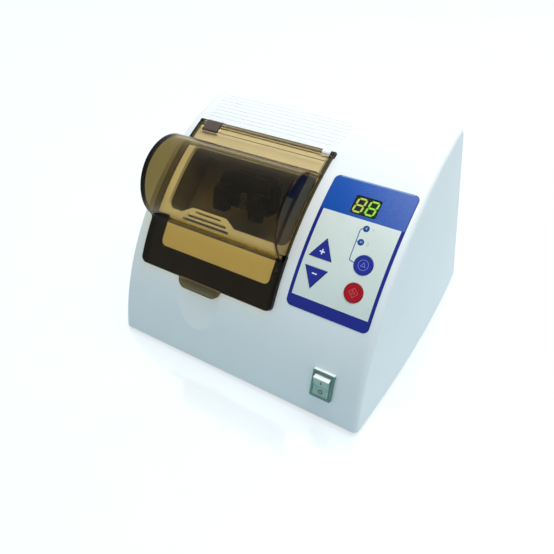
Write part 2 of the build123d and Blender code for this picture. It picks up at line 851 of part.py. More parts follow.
export_step(bay_liner.part, "parts/bay_liner.step")

bay_screws = screw_set(
    [vault_plane(*spot, -wall - ear_boss - ear_thickness) for spot in ear_spots],
    small_screw_radius,
    bay_screw_length,
    small_head_radius,
    small_head,
)
bay_screws.label = "bay_screws"
export_step(bay_screws, "parts/bay_screws.step")

with BuildPart() as rest_pad:
    add(pad_sheet(0, pad_proud))
    # the cover sensor looks out through the right arm
    with BuildSketch(sensor_plane):
        Rectangle(sensor_width + 2 * seat_gap, sensor_height + 2 * seat_gap)
    extrude(amount=2 * pad_depth, both=True, mode=Mode.SUBTRACT)
rest_pad.part.label = "rest_pad"
export_step(rest_pad.part, "parts/rest_pad.step")

with BuildPart() as cover_sensor:
    with BuildSketch(sensor_plane.offset(pad_proud)):
        Rectangle(sensor_width, sensor_height)
    extrude(amount=-sensor_depth)
    chamfer(cover_sensor.faces().sort_by(Axis.Z)[-1].edges(), sensor_chamfer)
cover_sensor.part.label = "cover_sensor"
export_step(cover_sensor.part, "parts/cover_sensor.step")

# ================================================================ smoked cover
cover_width = cover_right - cover_left
notch_gap = slide_gap + seat_gap

with BuildPart() as finger_tab:
    tab_band = vault_band(
        tab_x - tab_width / 2, cover_low - tab_reach, cover_low + cover_corner, cover_gap, cover_outer
    )
    extrude(tab_band, amount=tab_width, dir=(1, 0, 0))
    tips = finger_tab.edges().sort_by(SortBy.LENGTH)[:4]
    fillet(tips.sort_by(Axis.Z)[:2], tab_corner)

with BuildPart() as smoked_cover:
    # the sheet follows the casing, its lower corners rounded
    sheet_band = vault_band(cover_left, cover_low, hinge_arc, cover_gap, cover_outer)
    extrude(sheet_band, amount=cover_width, dir=(1, 0, 0))
    corners = smoked_cover.edges().sort_by(SortBy.LENGTH)[:4]
    fillet(corners.sort_by(Axis.Z)[:2], cover_corner)
    add(finger_tab.part)
    # the half-round bulge, blended into the sheet along both creases
    with BuildSketch(Plane.YZ.offset(cover_left)) as bulge_view:
        add(vault_outline(cover_low + bulge_blend, hinge_arc - bulge_blend, cover_gap, cover_outer))
        with Locations((bulge_y, bulge_z)):
            Circle(bulge_radius)
        add(
            vault_outline(cover_low, hinge_arc, -2 * bulge_radius, cover_gap),
            mode=Mode.SUBTRACT,
        )
        creases = bulge_view.vertices().filter_by(
            lambda v: abs(hypot(v.X - bulge_y, v.Y - bulge_z) - bulge_radius) < 0.01
            and hypot(v.X - vault_y, v.Y - vault_z) > vault_radius + cover_outer - 0.1
        )
        fillet(creases, bulge_blend)
    extrude(amount=bulge_right - cover_left)
    with BuildSketch(Plane.YZ.offset(cover_left + cover_thickness)):
        with Locations((bulge_y, bulge_z)):
            Circle(bulge_radius - cover_thickness)
    extrude(amount=bulge_right - cover_left - 2 * cover_thickness, mode=Mode.SUBTRACT)
    # hinge barrel along the top edge, notched for the clip and the lug
    with BuildSketch(hinge_section(cover_left)):
        Circle(barrel_radius)
    extrude(amount=cover_width)
    with BuildSketch(hinge_section(lug_x - lug_width / 2 - notch_gap)):
        with Locations((0, 0)):
            Rectangle(2 * (barrel_radius + notch_gap), 4 * barrel_radius)
    extrude(amount=lug_width + 2 * notch_gap, mode=Mode.SUBTRACT)
    with BuildSketch(hinge_section(clip_x - clip_width / 2 - notch_gap)):
        with Locations(((barrel_radius - clip_reach) / 2, 0)):
            Rectangle(clip_reach + barrel_radius + 2 * notch_gap, 4 * barrel_radius)
    extrude(amount=clip_width + 2 * notch_gap, mode=Mode.SUBTRACT)
    with BuildSketch(hinge_section(cover_left + 2 * pin_end_gap)):
        Circle(pin_radius + fit_gap)
    extrude(amount=cover_width - 4 * pin_end_gap, mode=Mode.SUBTRACT)
smoked_cover.part.label = "smoked_cover"
export_step(smoked_cover.part, "parts/smoked_cover.step")

with BuildPart() as hinge_pin:
    with BuildSketch(hinge_section(cover_left + 3 * pin_end_gap)):
        Circle(pin_radius)
    extrude(amount=cover_width - 6 * pin_end_gap)
hinge_pin.part.label = "hinge_pin"
export_step(hinge_pin.part, "parts/hinge_pin.step")

with BuildPart() as hinge_clip:
    with BuildSketch(hinge_section(clip_x - clip_width / 2)) as clip_view:
        with Locations((-clip_reach / 2, (clip_height - hinge_lift) / 2)):
            Rectangle(clip_reach, clip_height + hinge_lift)
        fillet(clip_view.vertices().sort_by(Axis.X)[:2].sort_by(Axis.Y)[-1], clip_corner)
        Circle(clip_height)
        Circle(pin_radius + fit_gap, mode=Mode.SUBTRACT)
    extrude(amount=clip_width)
hinge_clip.part.label = "hinge_clip"
export_step(hinge_clip.part, "parts/hinge_clip.step")

# ================================================================ keypad
with BuildPart() as keypad_overlay:
    add(keypad_sheet(0, -keypad_depth, keypad_proud))
    for spot, turn in ((up_spot, 1), (down_spot, -1)):
        with BuildSketch(vault_plane(*spot)):
            add(arrow_outline(turn, slide_gap))
        extrude(amount=wall, both=True, mode=Mode.SUBTRACT)
    for spot in (mode_spot, start_spot):
        with BuildSketch(vault_plane(*spot)):
            Circle(round_key_radius + slide_gap)
        extrude(amount=wall, both=True, mode=Mode.SUBTRACT)
    with BuildSketch(vault_plane(*window_spot)):
        RectangleRounded(window_width + 2 * seat_gap, window_height + 2 * seat_gap, window_corner)
    extrude(amount=wall, both=True, mode=Mode.SUBTRACT)
    for spot in lamp_spots:
        with BuildSketch(vault_plane(*spot)):
            Circle(lamp_radius + seat_gap)
        extrude(amount=wall, both=True, mode=Mode.SUBTRACT)
keypad_overlay.part.label = "keypad_overlay"
export_step(keypad_overlay.part, "parts/keypad_overlay.step")

with BuildPart() as display_window:
    with BuildSketch(vault_plane(*window_spot, -window_depth)):
        RectangleRounded(window_width, window_height, window_corner)
    extrude(amount=window_depth + keypad_proud)
display_window.part.label = "display_window"
export_step(display_window.part, "parts/display_window.step")

with BuildPart() as display_module:
    with BuildSketch(vault_plane(*window_spot, -window_depth)):
        RectangleRounded(window_width + 2 * seat_gap, window_height + 2 * seat_gap, window_corner)
    extrude(amount=-2 * board_depth)
    split(bisect_by=board_plane, keep=Keep.TOP)
display_module.part.label = "display_module"
export_step(display_module.part, "parts/display_module.step")

with BuildPart() as mode_lamps:
    for spot in lamp_spots:
        with BuildSketch(vault_plane(*spot, keypad_proud + lamp_proud)):
            Circle(lamp_radius)
        extrude(amount=-2 * board_depth)
    split(bisect_by=board_plane, keep=Keep.TOP)
    domes = mode_lamps.faces().filter_by(GeomType.PLANE).sort_by(Axis((0, 0, 0), board_plane.z_dir))[-2:]
    fillet(domes.edges(), lamp_dome)
mode_lamps.part.label = "mode_lamps"
export_step(mode_lamps.part, "parts/mode_lamps.step")

with BuildPart() as control_board:
    with BuildSketch(board_plane):
        Rectangle(board_width, board_length)
        with Locations(*corner_spots(board_hole_x, board_hole_y)):
            Circle(small_screw_radius + screw_gap, mode=Mode.SUBTRACT)
    extrude(amount=-board_thickness)
control_board.part.label = "control_board"
export_step(control_board.part, "parts/control_board.step")

board_back = board_plane.offset(-board_thickness)
board_screws = screw_set(
    [
        Plane(origin=board_back.from_local_coords(Vector(x, y, 0)), z_dir=board_back.z_dir)
        for x, y in corner_spots(board_hole_x, board_hole_y)
    ],
    small_screw_radius,
    board_screw_length,
    small_head_radius,
    small_head,
)
board_screws.label = "board_screws"
export_step(board_screws, "parts/board_screws.step")


def stem_foot(spot):
    """Where a key's axis meets the board, and how deep that is."""
    face = vault_plane(*spot)
    drop = (face.origin - board_plane.origin).dot(board_plane.z_dir) / face.z_dir.dot(board_plane.z_dir)
    return board_plane.to_local_coords(face.origin - face.z_dir * drop), drop


key_spots = (up_spot, down_spot, mode_spot, start_spot)
button_height = button_body + plunger_rise

with BuildPart() as key_switches:
    for spot in key_spots:
        foot, drop = stem_foot(spot)
        with BuildSketch(board_plane):
            with Locations((foot.X, foot.Y)):
                Rectangle(button_size, button_size)
        extrude(amount=button_body)
        with BuildSketch(board_plane):
            with Locations((foot.X, foot.Y)):
                Circle(plunger_radius)
        extrude(amount=button_height)
key_switches.part.label = "key_switches"
export_step(key_switches.part, "parts/key_switches.step")


def key_piece(spot, outline):
    """A key: its cap in the pocket, its stem down to the switch on the board."""
    foot, drop = stem_foot(spot)
    stem_length = drop + key_under - button_height - plunger_gap
    with BuildPart() as key:
        with BuildSketch(vault_plane(*spot, key_under)):
            add(outline)
        extrude(amount=keypad_proud + key_rise - key_under)
        rim = key.faces().sort_by(Axis((0, 0, 0), vault_plane(*spot).z_dir))[-1].edges()
        chamfer(rim, key_chamfer)
        with BuildSketch(vault_plane(*spot, key_under)):
            Circle(stem_radius)
        extrude(amount=-stem_length)
    return key.part


with BuildSketch() as round_outline:
    Circle(round_key_radius)

up_key = key_piece(up_spot, arrow_outline(1, 0))
up_key.label = "up_key"
export_step(up_key, "parts/up_key.step")

down_key = key_piece(down_spot, arrow_outline(-1, 0))
down_key.label = "down_key"
export_step(down_key, "parts/down_key.step")

mode_key = key_piece(mode_spot, round_outline.sketch_local)
mode_key.label = "mode_key"
export_step(mode_key, "parts/mode_key.step")

start_key = key_piece(start_spot, round_outline.sketch_local)
start_key.label = "start_key"
export_step(start_key, "parts/start_key.step")

# ================================================================ mains switch
rocker_end = rocker_crown + rocker_half * tan(radians(rocker_angle))
rocker_sweep = hypot(rocker_half, rocker_end)
pressed_angle = atan2(rocker_end, rocker_half) - radians(rocker_angle)
cavity_half = rocker_sweep * cos(pressed_angle) + slide_gap
cavity_floor = rocker_pivot - hypot(rocker_half, rocker_skirt)
switch_x = half_width - switch_inset
rocker_axis = side_plane(switch_x, switch_arc, rocker_pivot)
rocker_lean = rocker_axis.x_dir * cos(radians(rocker_angle)) + rocker_axis.y_dir * sin(
    radians(rocker_angle)
)

with BuildPart() as switch_housing:
    with BuildSketch(switch_plane.offset(bezel_proud)):
        RectangleRounded(bezel_width, bezel_length, bezel_corner)
    extrude(amount=-bezel_proud - overrun)
    fillet(switch_housing.faces().sort_by(Axis((0, 0, 0), switch_plane.z_dir))[-1].edges(), bezel_fillet)
    # its back follows the curved front
    under_bezel = vault_band(
        switch_x - bezel_width, switch_arc - bezel_length, switch_arc + bezel_length, -wall, 0
    )
    extrude(under_bezel, amount=2 * bezel_width, dir=(1, 0, 0), mode=Mode.SUBTRACT)
    with BuildSketch(switch_plane.offset(bezel_proud / 2)):
        Rectangle(switch_body_width, switch_body_length)
    extrude(amount=-bezel_proud / 2 - switch_depth)
    with BuildSketch(switch_plane.offset(bezel_proud)):
        Rectangle(rocker_width + 2 * slide_gap, 2 * cavity_half)
    extrude(amount=cavity_floor - bezel_proud, mode=Mode.SUBTRACT)
    with BuildSketch(rocker_axis):
        Circle(rocker_pin_radius + fit_gap)
    extrude(amount=rocker_width / 2 + rocker_pin_length + fit_gap, both=True, mode=Mode.SUBTRACT)
    with BuildSketch(switch_plane.offset(-switch_depth)):
        with GridLocations(spade_pitch, spade_row, 2, 2):
            Rectangle(spade_thickness, spade_width)
    extrude(amount=-spade_length)
switch_housing.part.label = "switch_housing"
export_step(switch_housing.part, "parts/switch_housing.step")

with BuildPart() as switch_rocker:
    with BuildSketch(
        Plane(origin=rocker_axis.origin, x_dir=rocker_lean, z_dir=(1, 0, 0))
    ) as rocker_view:
        with BuildLine():
            Polyline(
                (-rocker_half, -rocker_skirt),
                (rocker_half, -rocker_skirt),
                (rocker_half, rocker_end),
                (0, rocker_crown),
                (-rocker_half, rocker_end),
                close=True,
            )
        make_face()
        fillet(rocker_view.vertices().group_by(Axis.Y)[-1], rocker_corner)
    extrude(amount=rocker_width / 2, both=True)
    with BuildSketch(rocker_axis):
        Circle(rocker_pin_radius)
    extrude(amount=rocker_width / 2 + rocker_pin_length, both=True)
switch_rocker.part.label = "switch_rocker"
export_step(switch_rocker.part, "parts/switch_rocker.step")

# ================================================================ rear wall pieces
with BuildPart() as mains_inlet:
    with BuildSketch(rear_plane(inlet_x, inlet_rise)):
        RectangleRounded(inlet_flange_width, inlet_flange_height, inlet_flange_corner)
    extrude(amount=inlet_flange)
    with BuildSketch(rear_plane(inlet_x, inlet_rise)):
        Rectangle(inlet_width, inlet_height)
    extrude(amount=-inlet_depth)
    with BuildSketch(rear_plane(inlet_x, inlet_rise, inlet_flange)) as socket_view:
        Rectangle(socket_width, socket_height)
        chamfer(socket_view.vertices().group_by(Axis.Y)[-1], socket_chamfer)
    extrude(amount=-socket_depth, mode=Mode.SUBTRACT)
    with BuildSketch(rear_plane(inlet_x, inlet_rise, inlet_flange - socket_depth)):
        with Locations((-contact_pitch, contact_row), (contact_pitch, contact_row), (0, earth_row)):
            Rectangle(contact_thickness, contact_height)
    extrude(amount=contact_length)
    with BuildSketch(rear_plane(inlet_x, inlet_rise)):
        with Locations((-inlet_screw_spread, 0), (inlet_screw_spread, 0)):
            Circle(screw_radius + screw_gap)
    extrude(amount=inlet_flange, mode=Mode.SUBTRACT)
mains_inlet.part.label = "mains_inlet"
export_step(mains_inlet.part, "parts/mains_inlet.step")

inlet_screws = screw_set(
    [
        Plane(origin=rear_plane(inlet_x + side * inlet_screw_spread, inlet_rise, inlet_flange).origin,
              z_dir=rear_plane(0, 0).z_dir * -1)
        for side in (-1, 1)
    ],
    screw_radius,
    inlet_screw_length,
    screw_head_radius,
    screw_head,
)
inlet_screws.label = "inlet_screws"
export_step(inlet_screws, "parts/inlet_screws.step")

with BuildPart() as fuse_holder:
    with BuildSketch(rear_plane(fuse_x, inlet_rise)):
        Circle(fuse_cap_radius)
    extrude(amount=fuse_cap)
    chamfer(fuse_holder.faces().sort_by(Axis.Y)[-1].edges(), fuse_cap / 4)
    with BuildSketch(rear_plane(fuse_x, inlet_rise)):
        Circle(fuse_radius)
    extrude(amount=-fuse_depth)
    with BuildSketch(rear_plane(fuse_x, inlet_rise, -wall)):
        RegularPolygon(fuse_nut_radius, 6)
    extrude(amount=-fuse_nut)
    with BuildSketch(rear_plane(fuse_x, inlet_rise, fuse_cap)):
        Rectangle(fuse_cap_radius, fuse_cap / 3)
    extrude(amount=-fuse_cap / 3, mode=Mode.SUBTRACT)
fuse_holder.part.label = "fuse_holder"
export_step(fuse_holder.part, "parts/fuse_holder.step")

# ================================================================ drive
bearing_x = arm_x - bearing_offset
plate_x = arm_x + motor_offset
motor_x = plate_x + frame_plate / 2
web_y = shaft_y + web_offset
shaft_front = Plane(origin=(0, shaft_y, shaft_z), x_dir=(0, 1, 0), z_dir=(1, 0, 0))
guide_along = -web_offset / cos(atan2(arm_dir.Z, -arm_dir.Y))
motor_holes = [
    (motor_screw_circle * cos(radians(turn)), motor_screw_circle * sin(radians(turn)))
    for turn in (45, 135, 225, 315)
]

with BuildPart() as motor_frame:
    with BuildSketch(Plane.XY.offset(frame_z)):
        with Locations((arm_x + (frame_right - frame_left) / 2, shaft_y)):
            RectangleRounded(frame_left + frame_right, frame_span_y, frame_plate)
        with Locations(*buffer_spots):
            Circle(screw_radius + screw_gap, mode=Mode.SUBTRACT)
    extrude(amount=frame_plate)
    # two uprights, for the outboard bearing and for the motor
    for upright_x in (bearing_x, plate_x):
        with BuildSketch(shaft_front.offset(upright_x - frame_plate / 2)):
            Circle(upright_radius)
            with BuildLine():
                Polyline(
                    (-upright_radius, 0),
                    (upright_radius, 0),
                    (frame_span_y / 2, frame_z - shaft_z),
                    (-frame_span_y / 2, frame_z - shaft_z),
                    close=True,
                )
            make_face()
        extrude(amount=frame_plate)
    # the rear web ties them together and guides the arm's tail
    with BuildSketch(Plane.XY.offset(frame_z)):
        with Locations(((bearing_x + plate_x) / 2, web_y)):
            Rectangle(plate_x - bearing_x, web_thickness)
    extrude(amount=shaft_z - frame_z + frame_plate)
    with BuildSketch(arm_plane(guide_along - 3 * web_thickness)):
        Rectangle(guide_width, tail_height + 2 * slide_gap)
    extrude(amount=6 * web_thickness, mode=Mode.SUBTRACT)
    with BuildSketch(shaft_front.offset(bearing_x - frame_plate)):
        Circle(bush_radius)
    extrude(amount=2 * frame_plate, mode=Mode.SUBTRACT)
    with BuildSketch(shaft_front.offset(plate_x - frame_plate)):
        Circle(pilot_radius + seat_gap)
        with Locations(*motor_holes):
            Circle(screw_radius + screw_gap)
    extrude(amount=2 * frame_plate, mode=Mode.SUBTRACT)
motor_frame.part.label = "motor_frame"
export_step(motor_frame.part, "parts/motor_frame.step")

lower_screw_length = plate_thickness - screw_head + buffer_thread
upper_screw_length = frame_plate + buffer_thread

with BuildPart() as frame_mounts:
    with BuildSketch(Plane.XY.offset(base_top)):
        with Locations(*buffer_spots):
            Circle(buffer_radius)
    extrude(amount=buffer_height)
    with BuildSketch(Plane.XY.offset(base_top + buffer_height / 3)):
        with Locations(*buffer_spots):
            Circle(buffer_radius)
            Circle(buffer_radius - buffer_waist, mode=Mode.SUBTRACT)
    extrude(amount=buffer_height / 3, mode=Mode.SUBTRACT)
    with BuildSketch(Plane.XY.offset(base_top)):
        with Locations(*buffer_spots):
            Circle(screw_radius + screw_gap)
    extrude(amount=buffer_thread + blind_gap, mode=Mode.SUBTRACT)
    with BuildSketch(Plane.XY.offset(frame_z)):
        with Locations(*buffer_spots):
            Circle(screw_radius + screw_gap)
    extrude(amount=-buffer_thread - blind_gap, mode=Mode.SUBTRACT)
frame_mounts.part.label = "frame_mounts"
export_step(frame_mounts.part, "parts/frame_mounts.step")

with BuildPart() as frame_screws:
    add(
        screw_set(
            upward(buffer_spots, base_bottom + screw_head),
            screw_radius,
            lower_screw_length,
            screw_head_radius,
            screw_head - seat_gap,
        )
    )
    add(
        screw_set(
            [Plane(origin=(x, y, frame_top), z_dir=(0, 0, -1)) for x, y in buffer_spots],
            screw_radius,
            upper_screw_length,
            screw_head_radius,
            screw_head,
        )
    )
frame_screws.part.label = "frame_screws"
export_step(frame_screws.part, "parts/frame_screws.step")

with BuildPart() as motor_body:
    with BuildSketch(shaft_front.offset(motor_x)):
        Circle(motor_radius)
    extrude(amount=motor_length)
    with BuildSketch(shaft_front.offset(motor_x + motor_length)):
        Circle(motor_cap_radius)
    extrude(amount=motor_cap)
    rims = motor_body.edges().filter_by(GeomType.CIRCLE).sort_by(Axis.X)
    fillet(rims[0], motor_edge)
    fillet(motor_body.edges().filter_by(GeomType.CIRCLE).sort_by(Axis.X)[-1], motor_edge)
    with BuildSketch(shaft_front.offset(motor_x)):
        Circle(pilot_radius)
    extrude(amount=-pilot_height)
    with BuildSketch(shaft_front.offset(motor_x - pilot_height)):
        Circle(shaft_radius + fit_gap)
    extrude(amount=arm_x + shaft_right - motor_x + pilot_height + blind_gap, mode=Mode.SUBTRACT)
    with BuildSketch(shaft_front.offset(motor_x)):
        with Locations(*motor_holes):
            Circle(screw_radius + screw_gap)
    extrude(amount=motor_screw_length - frame_plate + blind_gap, mode=Mode.SUBTRACT)
motor_body.part.label = "motor_body"
export_step(motor_body.part, "parts/motor_body.step")

motor_screws = screw_set(
    [
        Plane(
            origin=(plate_x - frame_plate / 2, shaft_y + across, shaft_z + up),
            z_dir=(1, 0, 0),
        )
        for across, up in motor_holes
    ],
    screw_radius,
    motor_screw_length,
    screw_head_radius,
    screw_head,
)
motor_screws.label = "motor_screws"
export_step(motor_screws, "parts/motor_screws.step")

with BuildPart() as shaft_bearing:
    with BuildSketch(shaft_front.offset(bearing_x - frame_plate / 2)):
        Circle(bush_radius)
    extrude(amount=frame_plate)
    with BuildSketch(shaft_front.offset(bearing_x - frame_plate / 2)):
        Circle(bush_flange_radius)
    extrude(amount=-bush_flange)
    with BuildSketch(shaft_front.offset(bearing_x - frame_plate)):
        Circle(shaft_radius + fit_gap)
    extrude(amount=2 * frame_plate, mode=Mode.SUBTRACT)
shaft_bearing.part.label = "shaft_bearing"
export_step(shaft_bearing.part, "parts/shaft_bearing.step")

tilt = radians(journal_tilt)
journal_dir = Vector(cos(tilt), 0, 0) + swing_dir * sin(tilt)
journal_plane = Plane(origin=hub, z_dir=journal_dir)

with BuildPart() as drive_shaft:
    with BuildSketch(shaft_front.offset(arm_x - shaft_left)):
        Circle(shaft_radius)
    extrude(amount=shaft_left + shaft_right)
    with BuildSketch(shaft_front.offset(arm_x)):
        Circle(collar_radius)
    extrude(amount=journal_length, both=True)
    # the skewed journal turns the shaft's spin into the arm's swing
    with BuildSketch(journal_plane):
        Circle(journal_radius)
    extrude(amount=journal_length / 2, both=True)
drive_shaft.part.label = "drive_shaft"
export_step(drive_shaft.part, "parts/drive_shaft.step")

# ================================================================ arm and fork
with BuildPart() as mixing_arm:
    with BuildSketch(arm_view(0)):
        Circle(ring_radius)
        with Locations((head_back / 2, 0)):
            Rectangle(head_back, arm_height)
    extrude(amount=arm_width / 2, both=True)
    roots = mixing_arm.edges().filter_by(Axis.X).filter_by(
        lambda e: abs((e.center() - hub).length - ring_radius) < 0.01
    )
    fillet(roots, root_fillet)
    with BuildSketch(arm_plane(-tail_length)):
        Rectangle(tail_width, tail_height)
    extrude(amount=tail_length)
    with BuildSketch(arm_view(0)):
        Circle(journal_radius + journal_gap)
    extrude(amount=arm_width, both=True, mode=Mode.SUBTRACT)
    with BuildSketch(arm_plane(head_back)):
        with Locations((0, -fork_screw_spread), (0, fork_screw_spread)):
            Circle(screw_radius + screw_gap)
    extrude(amount=head_thickness - fork_screw_length - blind_gap, mode=Mode.SUBTRACT)
mixing_arm.part.label = "mixing_arm"
export_step(mixing_arm.part, "parts/mixing_arm.step")

head_front = head_back + head_thickness
head_middle = (head_high - head_low) / 2
jaw_inner = jaw_gap / 2
jaw_mid = jaw_inner + jaw_thickness / 2
grip_along = (grip - hub).length
notch_back = jaw_pivot - jaw_thickness / 2 - slide_gap
head_half = head_width / 2


def jaw_outline(start):
    """Side view of a jaw from a place along the arm to its rounded tip."""
    with BuildSketch() as view:
        with Locations(((start + jaw_tip) / 2, 0)):
            Rectangle(jaw_tip - start, jaw_height)
        fillet(view.vertices().sort_by(Axis.X)[-2:], jaw_corner)
    return view.sketch_local


with BuildPart() as fork_head:
    with BuildSketch(arm_plane(head_back)) as head_view:
        with Locations((0, head_middle)):
            Rectangle(head_width, head_low + head_high)
        fillet(head_view.vertices().sort_by(Axis.Y)[-2:], head_top_corner)
        fillet(head_view.vertices().sort_by(Axis.Y)[:2], head_low_corner)
    extrude(amount=head_thickness)
    fillet(fork_head.faces().sort_by(Axis((0, 0, 0), arm_dir))[-1].edges(), head_edge)
    with BuildSketch(arm_view(-jaw_inner)):
        add(jaw_outline(head_front - head_edge))
    extrude(amount=jaw_thickness)
    with BuildSketch(arm_view(-jaw_inner - cup_depth)):
        with Locations((grip_along, 0)):
            Circle(cup_radius)
    extrude(amount=-2 * cup_depth, mode=Mode.SUBTRACT)
    # a notch in the right side holds the clamp jaw between two cheeks
    with BuildSketch(pivot_plane(0, 0, -lug_half - slide_gap)):
        notch_middle = (-(jaw_inner + head_half) / 2 - overrun, (notch_back + head_front) / 2 + overrun)
        with Locations(notch_middle):
            Rectangle(
                head_half - jaw_inner + 2 * slide_gap + 2 * overrun,
                head_front - notch_back + 2 * overrun,
            )
    extrude(amount=2 * (lug_half + slide_gap), mode=Mode.SUBTRACT)
    with BuildSketch(pivot_plane(jaw_pivot, jaw_mid, -head_low)):
        Circle(jaw_pin_radius + fit_gap / 2)
    extrude(amount=jaw_pin_length, mode=Mode.SUBTRACT)
    with BuildSketch(arm_plane(head_back)):
        with Locations((0, -fork_screw_spread), (0, fork_screw_spread)):
            Circle(screw_radius + screw_gap)
    extrude(amount=head_thickness, mode=Mode.SUBTRACT)
fork_head.part.label = "fork_head"
export_step(fork_head.part, "parts/fork_head.step")

with BuildPart() as clamp_jaw:
    with BuildSketch(arm_view(jaw_inner)):
        add(jaw_outline(head_front + jaw_root_gap))
    extrude(amount=-jaw_thickness)
    with BuildSketch(pivot_plane(jaw_pivot, jaw_mid, -lug_half)):
        Circle(jaw_thickness / 2)
        with Locations((0, (head_front + jaw_root_gap - jaw_pivot) / 2)):
            Rectangle(jaw_thickness, head_front + jaw_root_gap - jaw_pivot)
        Circle(jaw_pin_radius + fit_gap, mode=Mode.SUBTRACT)
    extrude(amount=2 * lug_half)
    with BuildSketch(arm_view(jaw_inner + cup_depth)):
        with Locations((grip_along, 0)):
            Circle(cup_radius)
    extrude(amount=2 * cup_depth, mode=Mode.SUBTRACT)
clamp_jaw.part.label = "clamp_jaw"
export_step(clamp_jaw.part, "parts/clamp_jaw.step")

with BuildPart() as jaw_pin:
    with BuildSketch(pivot_plane(jaw_pivot, jaw_mid, -head_low + fit_gap)):
        Circle(jaw_pin_radius)
    extrude(amount=jaw_pin_length - 2 * fit_gap)
jaw_pin.part.label = "jaw_pin"
export_step(jaw_pin.part, "parts/jaw_pin.step")

arm_screws = screw_set(
    [
        Plane(origin=arm_plane(head_front).from_local_coords(Vector(0, side * fork_screw_spread, 0)),
              z_dir=arm_dir * -1)
        for side in (-1, 1)
    ],
    screw_radius,
    fork_screw_length,
    screw_head_radius,
    screw_head,
)
arm_screws.label = "arm_screws"
export_step(arm_screws, "parts/arm_screws.step")
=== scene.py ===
import math

import bmesh
import bpy
from mathutils import Matrix, Vector


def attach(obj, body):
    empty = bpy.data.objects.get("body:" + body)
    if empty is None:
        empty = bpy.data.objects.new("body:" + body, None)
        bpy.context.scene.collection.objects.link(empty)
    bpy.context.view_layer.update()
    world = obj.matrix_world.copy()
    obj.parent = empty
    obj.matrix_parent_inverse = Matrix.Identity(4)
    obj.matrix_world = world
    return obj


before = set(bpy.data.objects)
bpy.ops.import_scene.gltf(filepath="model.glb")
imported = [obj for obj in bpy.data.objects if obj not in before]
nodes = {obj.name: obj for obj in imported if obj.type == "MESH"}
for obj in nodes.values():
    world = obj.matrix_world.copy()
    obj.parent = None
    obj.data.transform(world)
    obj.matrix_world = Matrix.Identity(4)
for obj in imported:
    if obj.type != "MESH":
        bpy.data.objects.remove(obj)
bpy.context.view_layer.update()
MM = 0.001
WHITE = (1, 1, 1)

# ---------------------------------------------------------------- the casing's own frame, in mm
# The front is an arc: a place on it is x, the arc length up from the bottom edge, and a height.
VAULT_Y, VAULT_Z, VAULT_R, VAULT_START = 68.499, -19.812, 166.5, 82.3
ACROSS = Vector((1, 0, 0))
SWITCH_X, SWITCH_ARC = 71.9, 27.1


def arc_angle(arc):
    return math.radians(VAULT_START) - arc / VAULT_R


def on_front(x, arc, height=0.0):
    """A place over the front, in metres."""
    a = arc_angle(arc)
    radius = VAULT_R + height
    return Vector((x, VAULT_Y - radius * math.sin(a), VAULT_Z + radius * math.cos(a))) * MM


def front_normal(arc):
    a = arc_angle(arc)
    return Vector((0, -math.sin(a), math.cos(a)))


def front_up(arc):
    a = arc_angle(arc)
    return Vector((0, math.cos(a), math.sin(a)))


# ---------------------------------------------------------------- shader nodes
NOISE_SPREAD = (0.3, 0.7)  # a noise texture's values lie mostly between these
finish = {}


def new_material(name):
    """An empty material, kept in finish under its name; gives its node tree and output node."""
    mat = bpy.data.materials.new(name)
    mat.use_nodes = True
    tree = mat.node_tree
    tree.nodes.clear()
    finish[name] = mat
    return tree, tree.nodes.new("ShaderNodeOutputMaterial")


def feed(tree, socket, value):
    """Give a socket another node's output, a colour, a vector or a number."""
    if isinstance(value, bpy.types.NodeSocket):
        tree.links.new(value, socket)
    elif socket.type == "RGBA":
        socket.default_value = (*value, 1)
    else:
        socket.default_value = value


def add_node(tree, kind, values=None):
    """A new shader node with its sockets fed by name."""
    node = tree.nodes.new("ShaderNode" + kind)
    for name, value in (values or {}).items():
        feed(tree, node.inputs[name], value)
    return node


def math_node(tree, kind, operation, values):
    node = add_node(tree, kind)
    node.operation = operation
    for socket, value in zip(node.inputs, values):
        feed(tree, socket, value)
    return node.outputs["Value"]


def calc(tree, operation, *values):
    """A number worked out from numbers."""
    return math_node(tree, "Math", operation, values)


def vector_calc(tree, operation, *values):
    """A number worked out from vectors."""
    return math_node(tree, "VectorMath", operation, values)


def object_coords(tree, stretch=(1, 1, 1)):
    coords = add_node(tree, "TexCoord")
    mapping = add_node(tree, "Mapping", {"Scale": stretch, "Vector": coords.outputs["Object"]})
    return mapping.outputs["Vector"]


def noise(tree, vector, scale, detail=3.0, rough=0.5):
    values = {"Vector": vector, "Scale": scale, "Detail": detail, "Roughness": rough}
    return add_node(tree, "TexNoise", values).outputs["Fac"]


def ramp(tree, value, low, high, out_low, out_high):
    """The value moved from one range to another, and held inside it."""
    values = {"From Min": low, "From Max": high, "To Min": out_low, "To Max": out_high}
    return add_node(tree, "MapRange", {"Value": value, **values}).outputs["Result"]


def blend_colours(tree, factor, first, second):
    node = add_node(tree, "Mix")
    node.data_type = "RGBA"
    for name, value in (("Factor", factor), ("A", first), ("B", second)):
        feed(tree, node.inputs[name], value)
    return node.outputs["Result"]


def mix_shaders(tree, factor, first, second):
    node = add_node(tree, "MixShader", {"Fac": factor})
    tree.links.new(first, node.inputs[1])
    tree.links.new(second, node.inputs[2])
    return node.outputs["Shader"]


# ---------------------------------------------------------------- kinds of material
GRAIN_SCALE, GRAIN_DETAIL, GRAIN_DEPTH, GLOSS_SPREAD = 2600.0, 2.0, 0.00003, 0.06
PATCH_SPREAD = (0.35, 0.65)
COAT_ROUGHNESS = 0.08
GLOW_PATCHES, GLOW_SHADE, LENS_ROUGHNESS = 900.0, 0.85, 0.3
PRINT_ROUGHNESS, PRINT_SPECULAR = 0.38, 0.2
FADE_RUN, SPECK_DETAIL, SPECK_ROUGH, SPECK_WEIGHT = (-0.15, 1.0), 3.0, 0.75, 0.9
WIPE_SCALE, WIPE_DETAIL, WIPE_SPREAD = 60.0, 4.0, (0.4, 0.75)


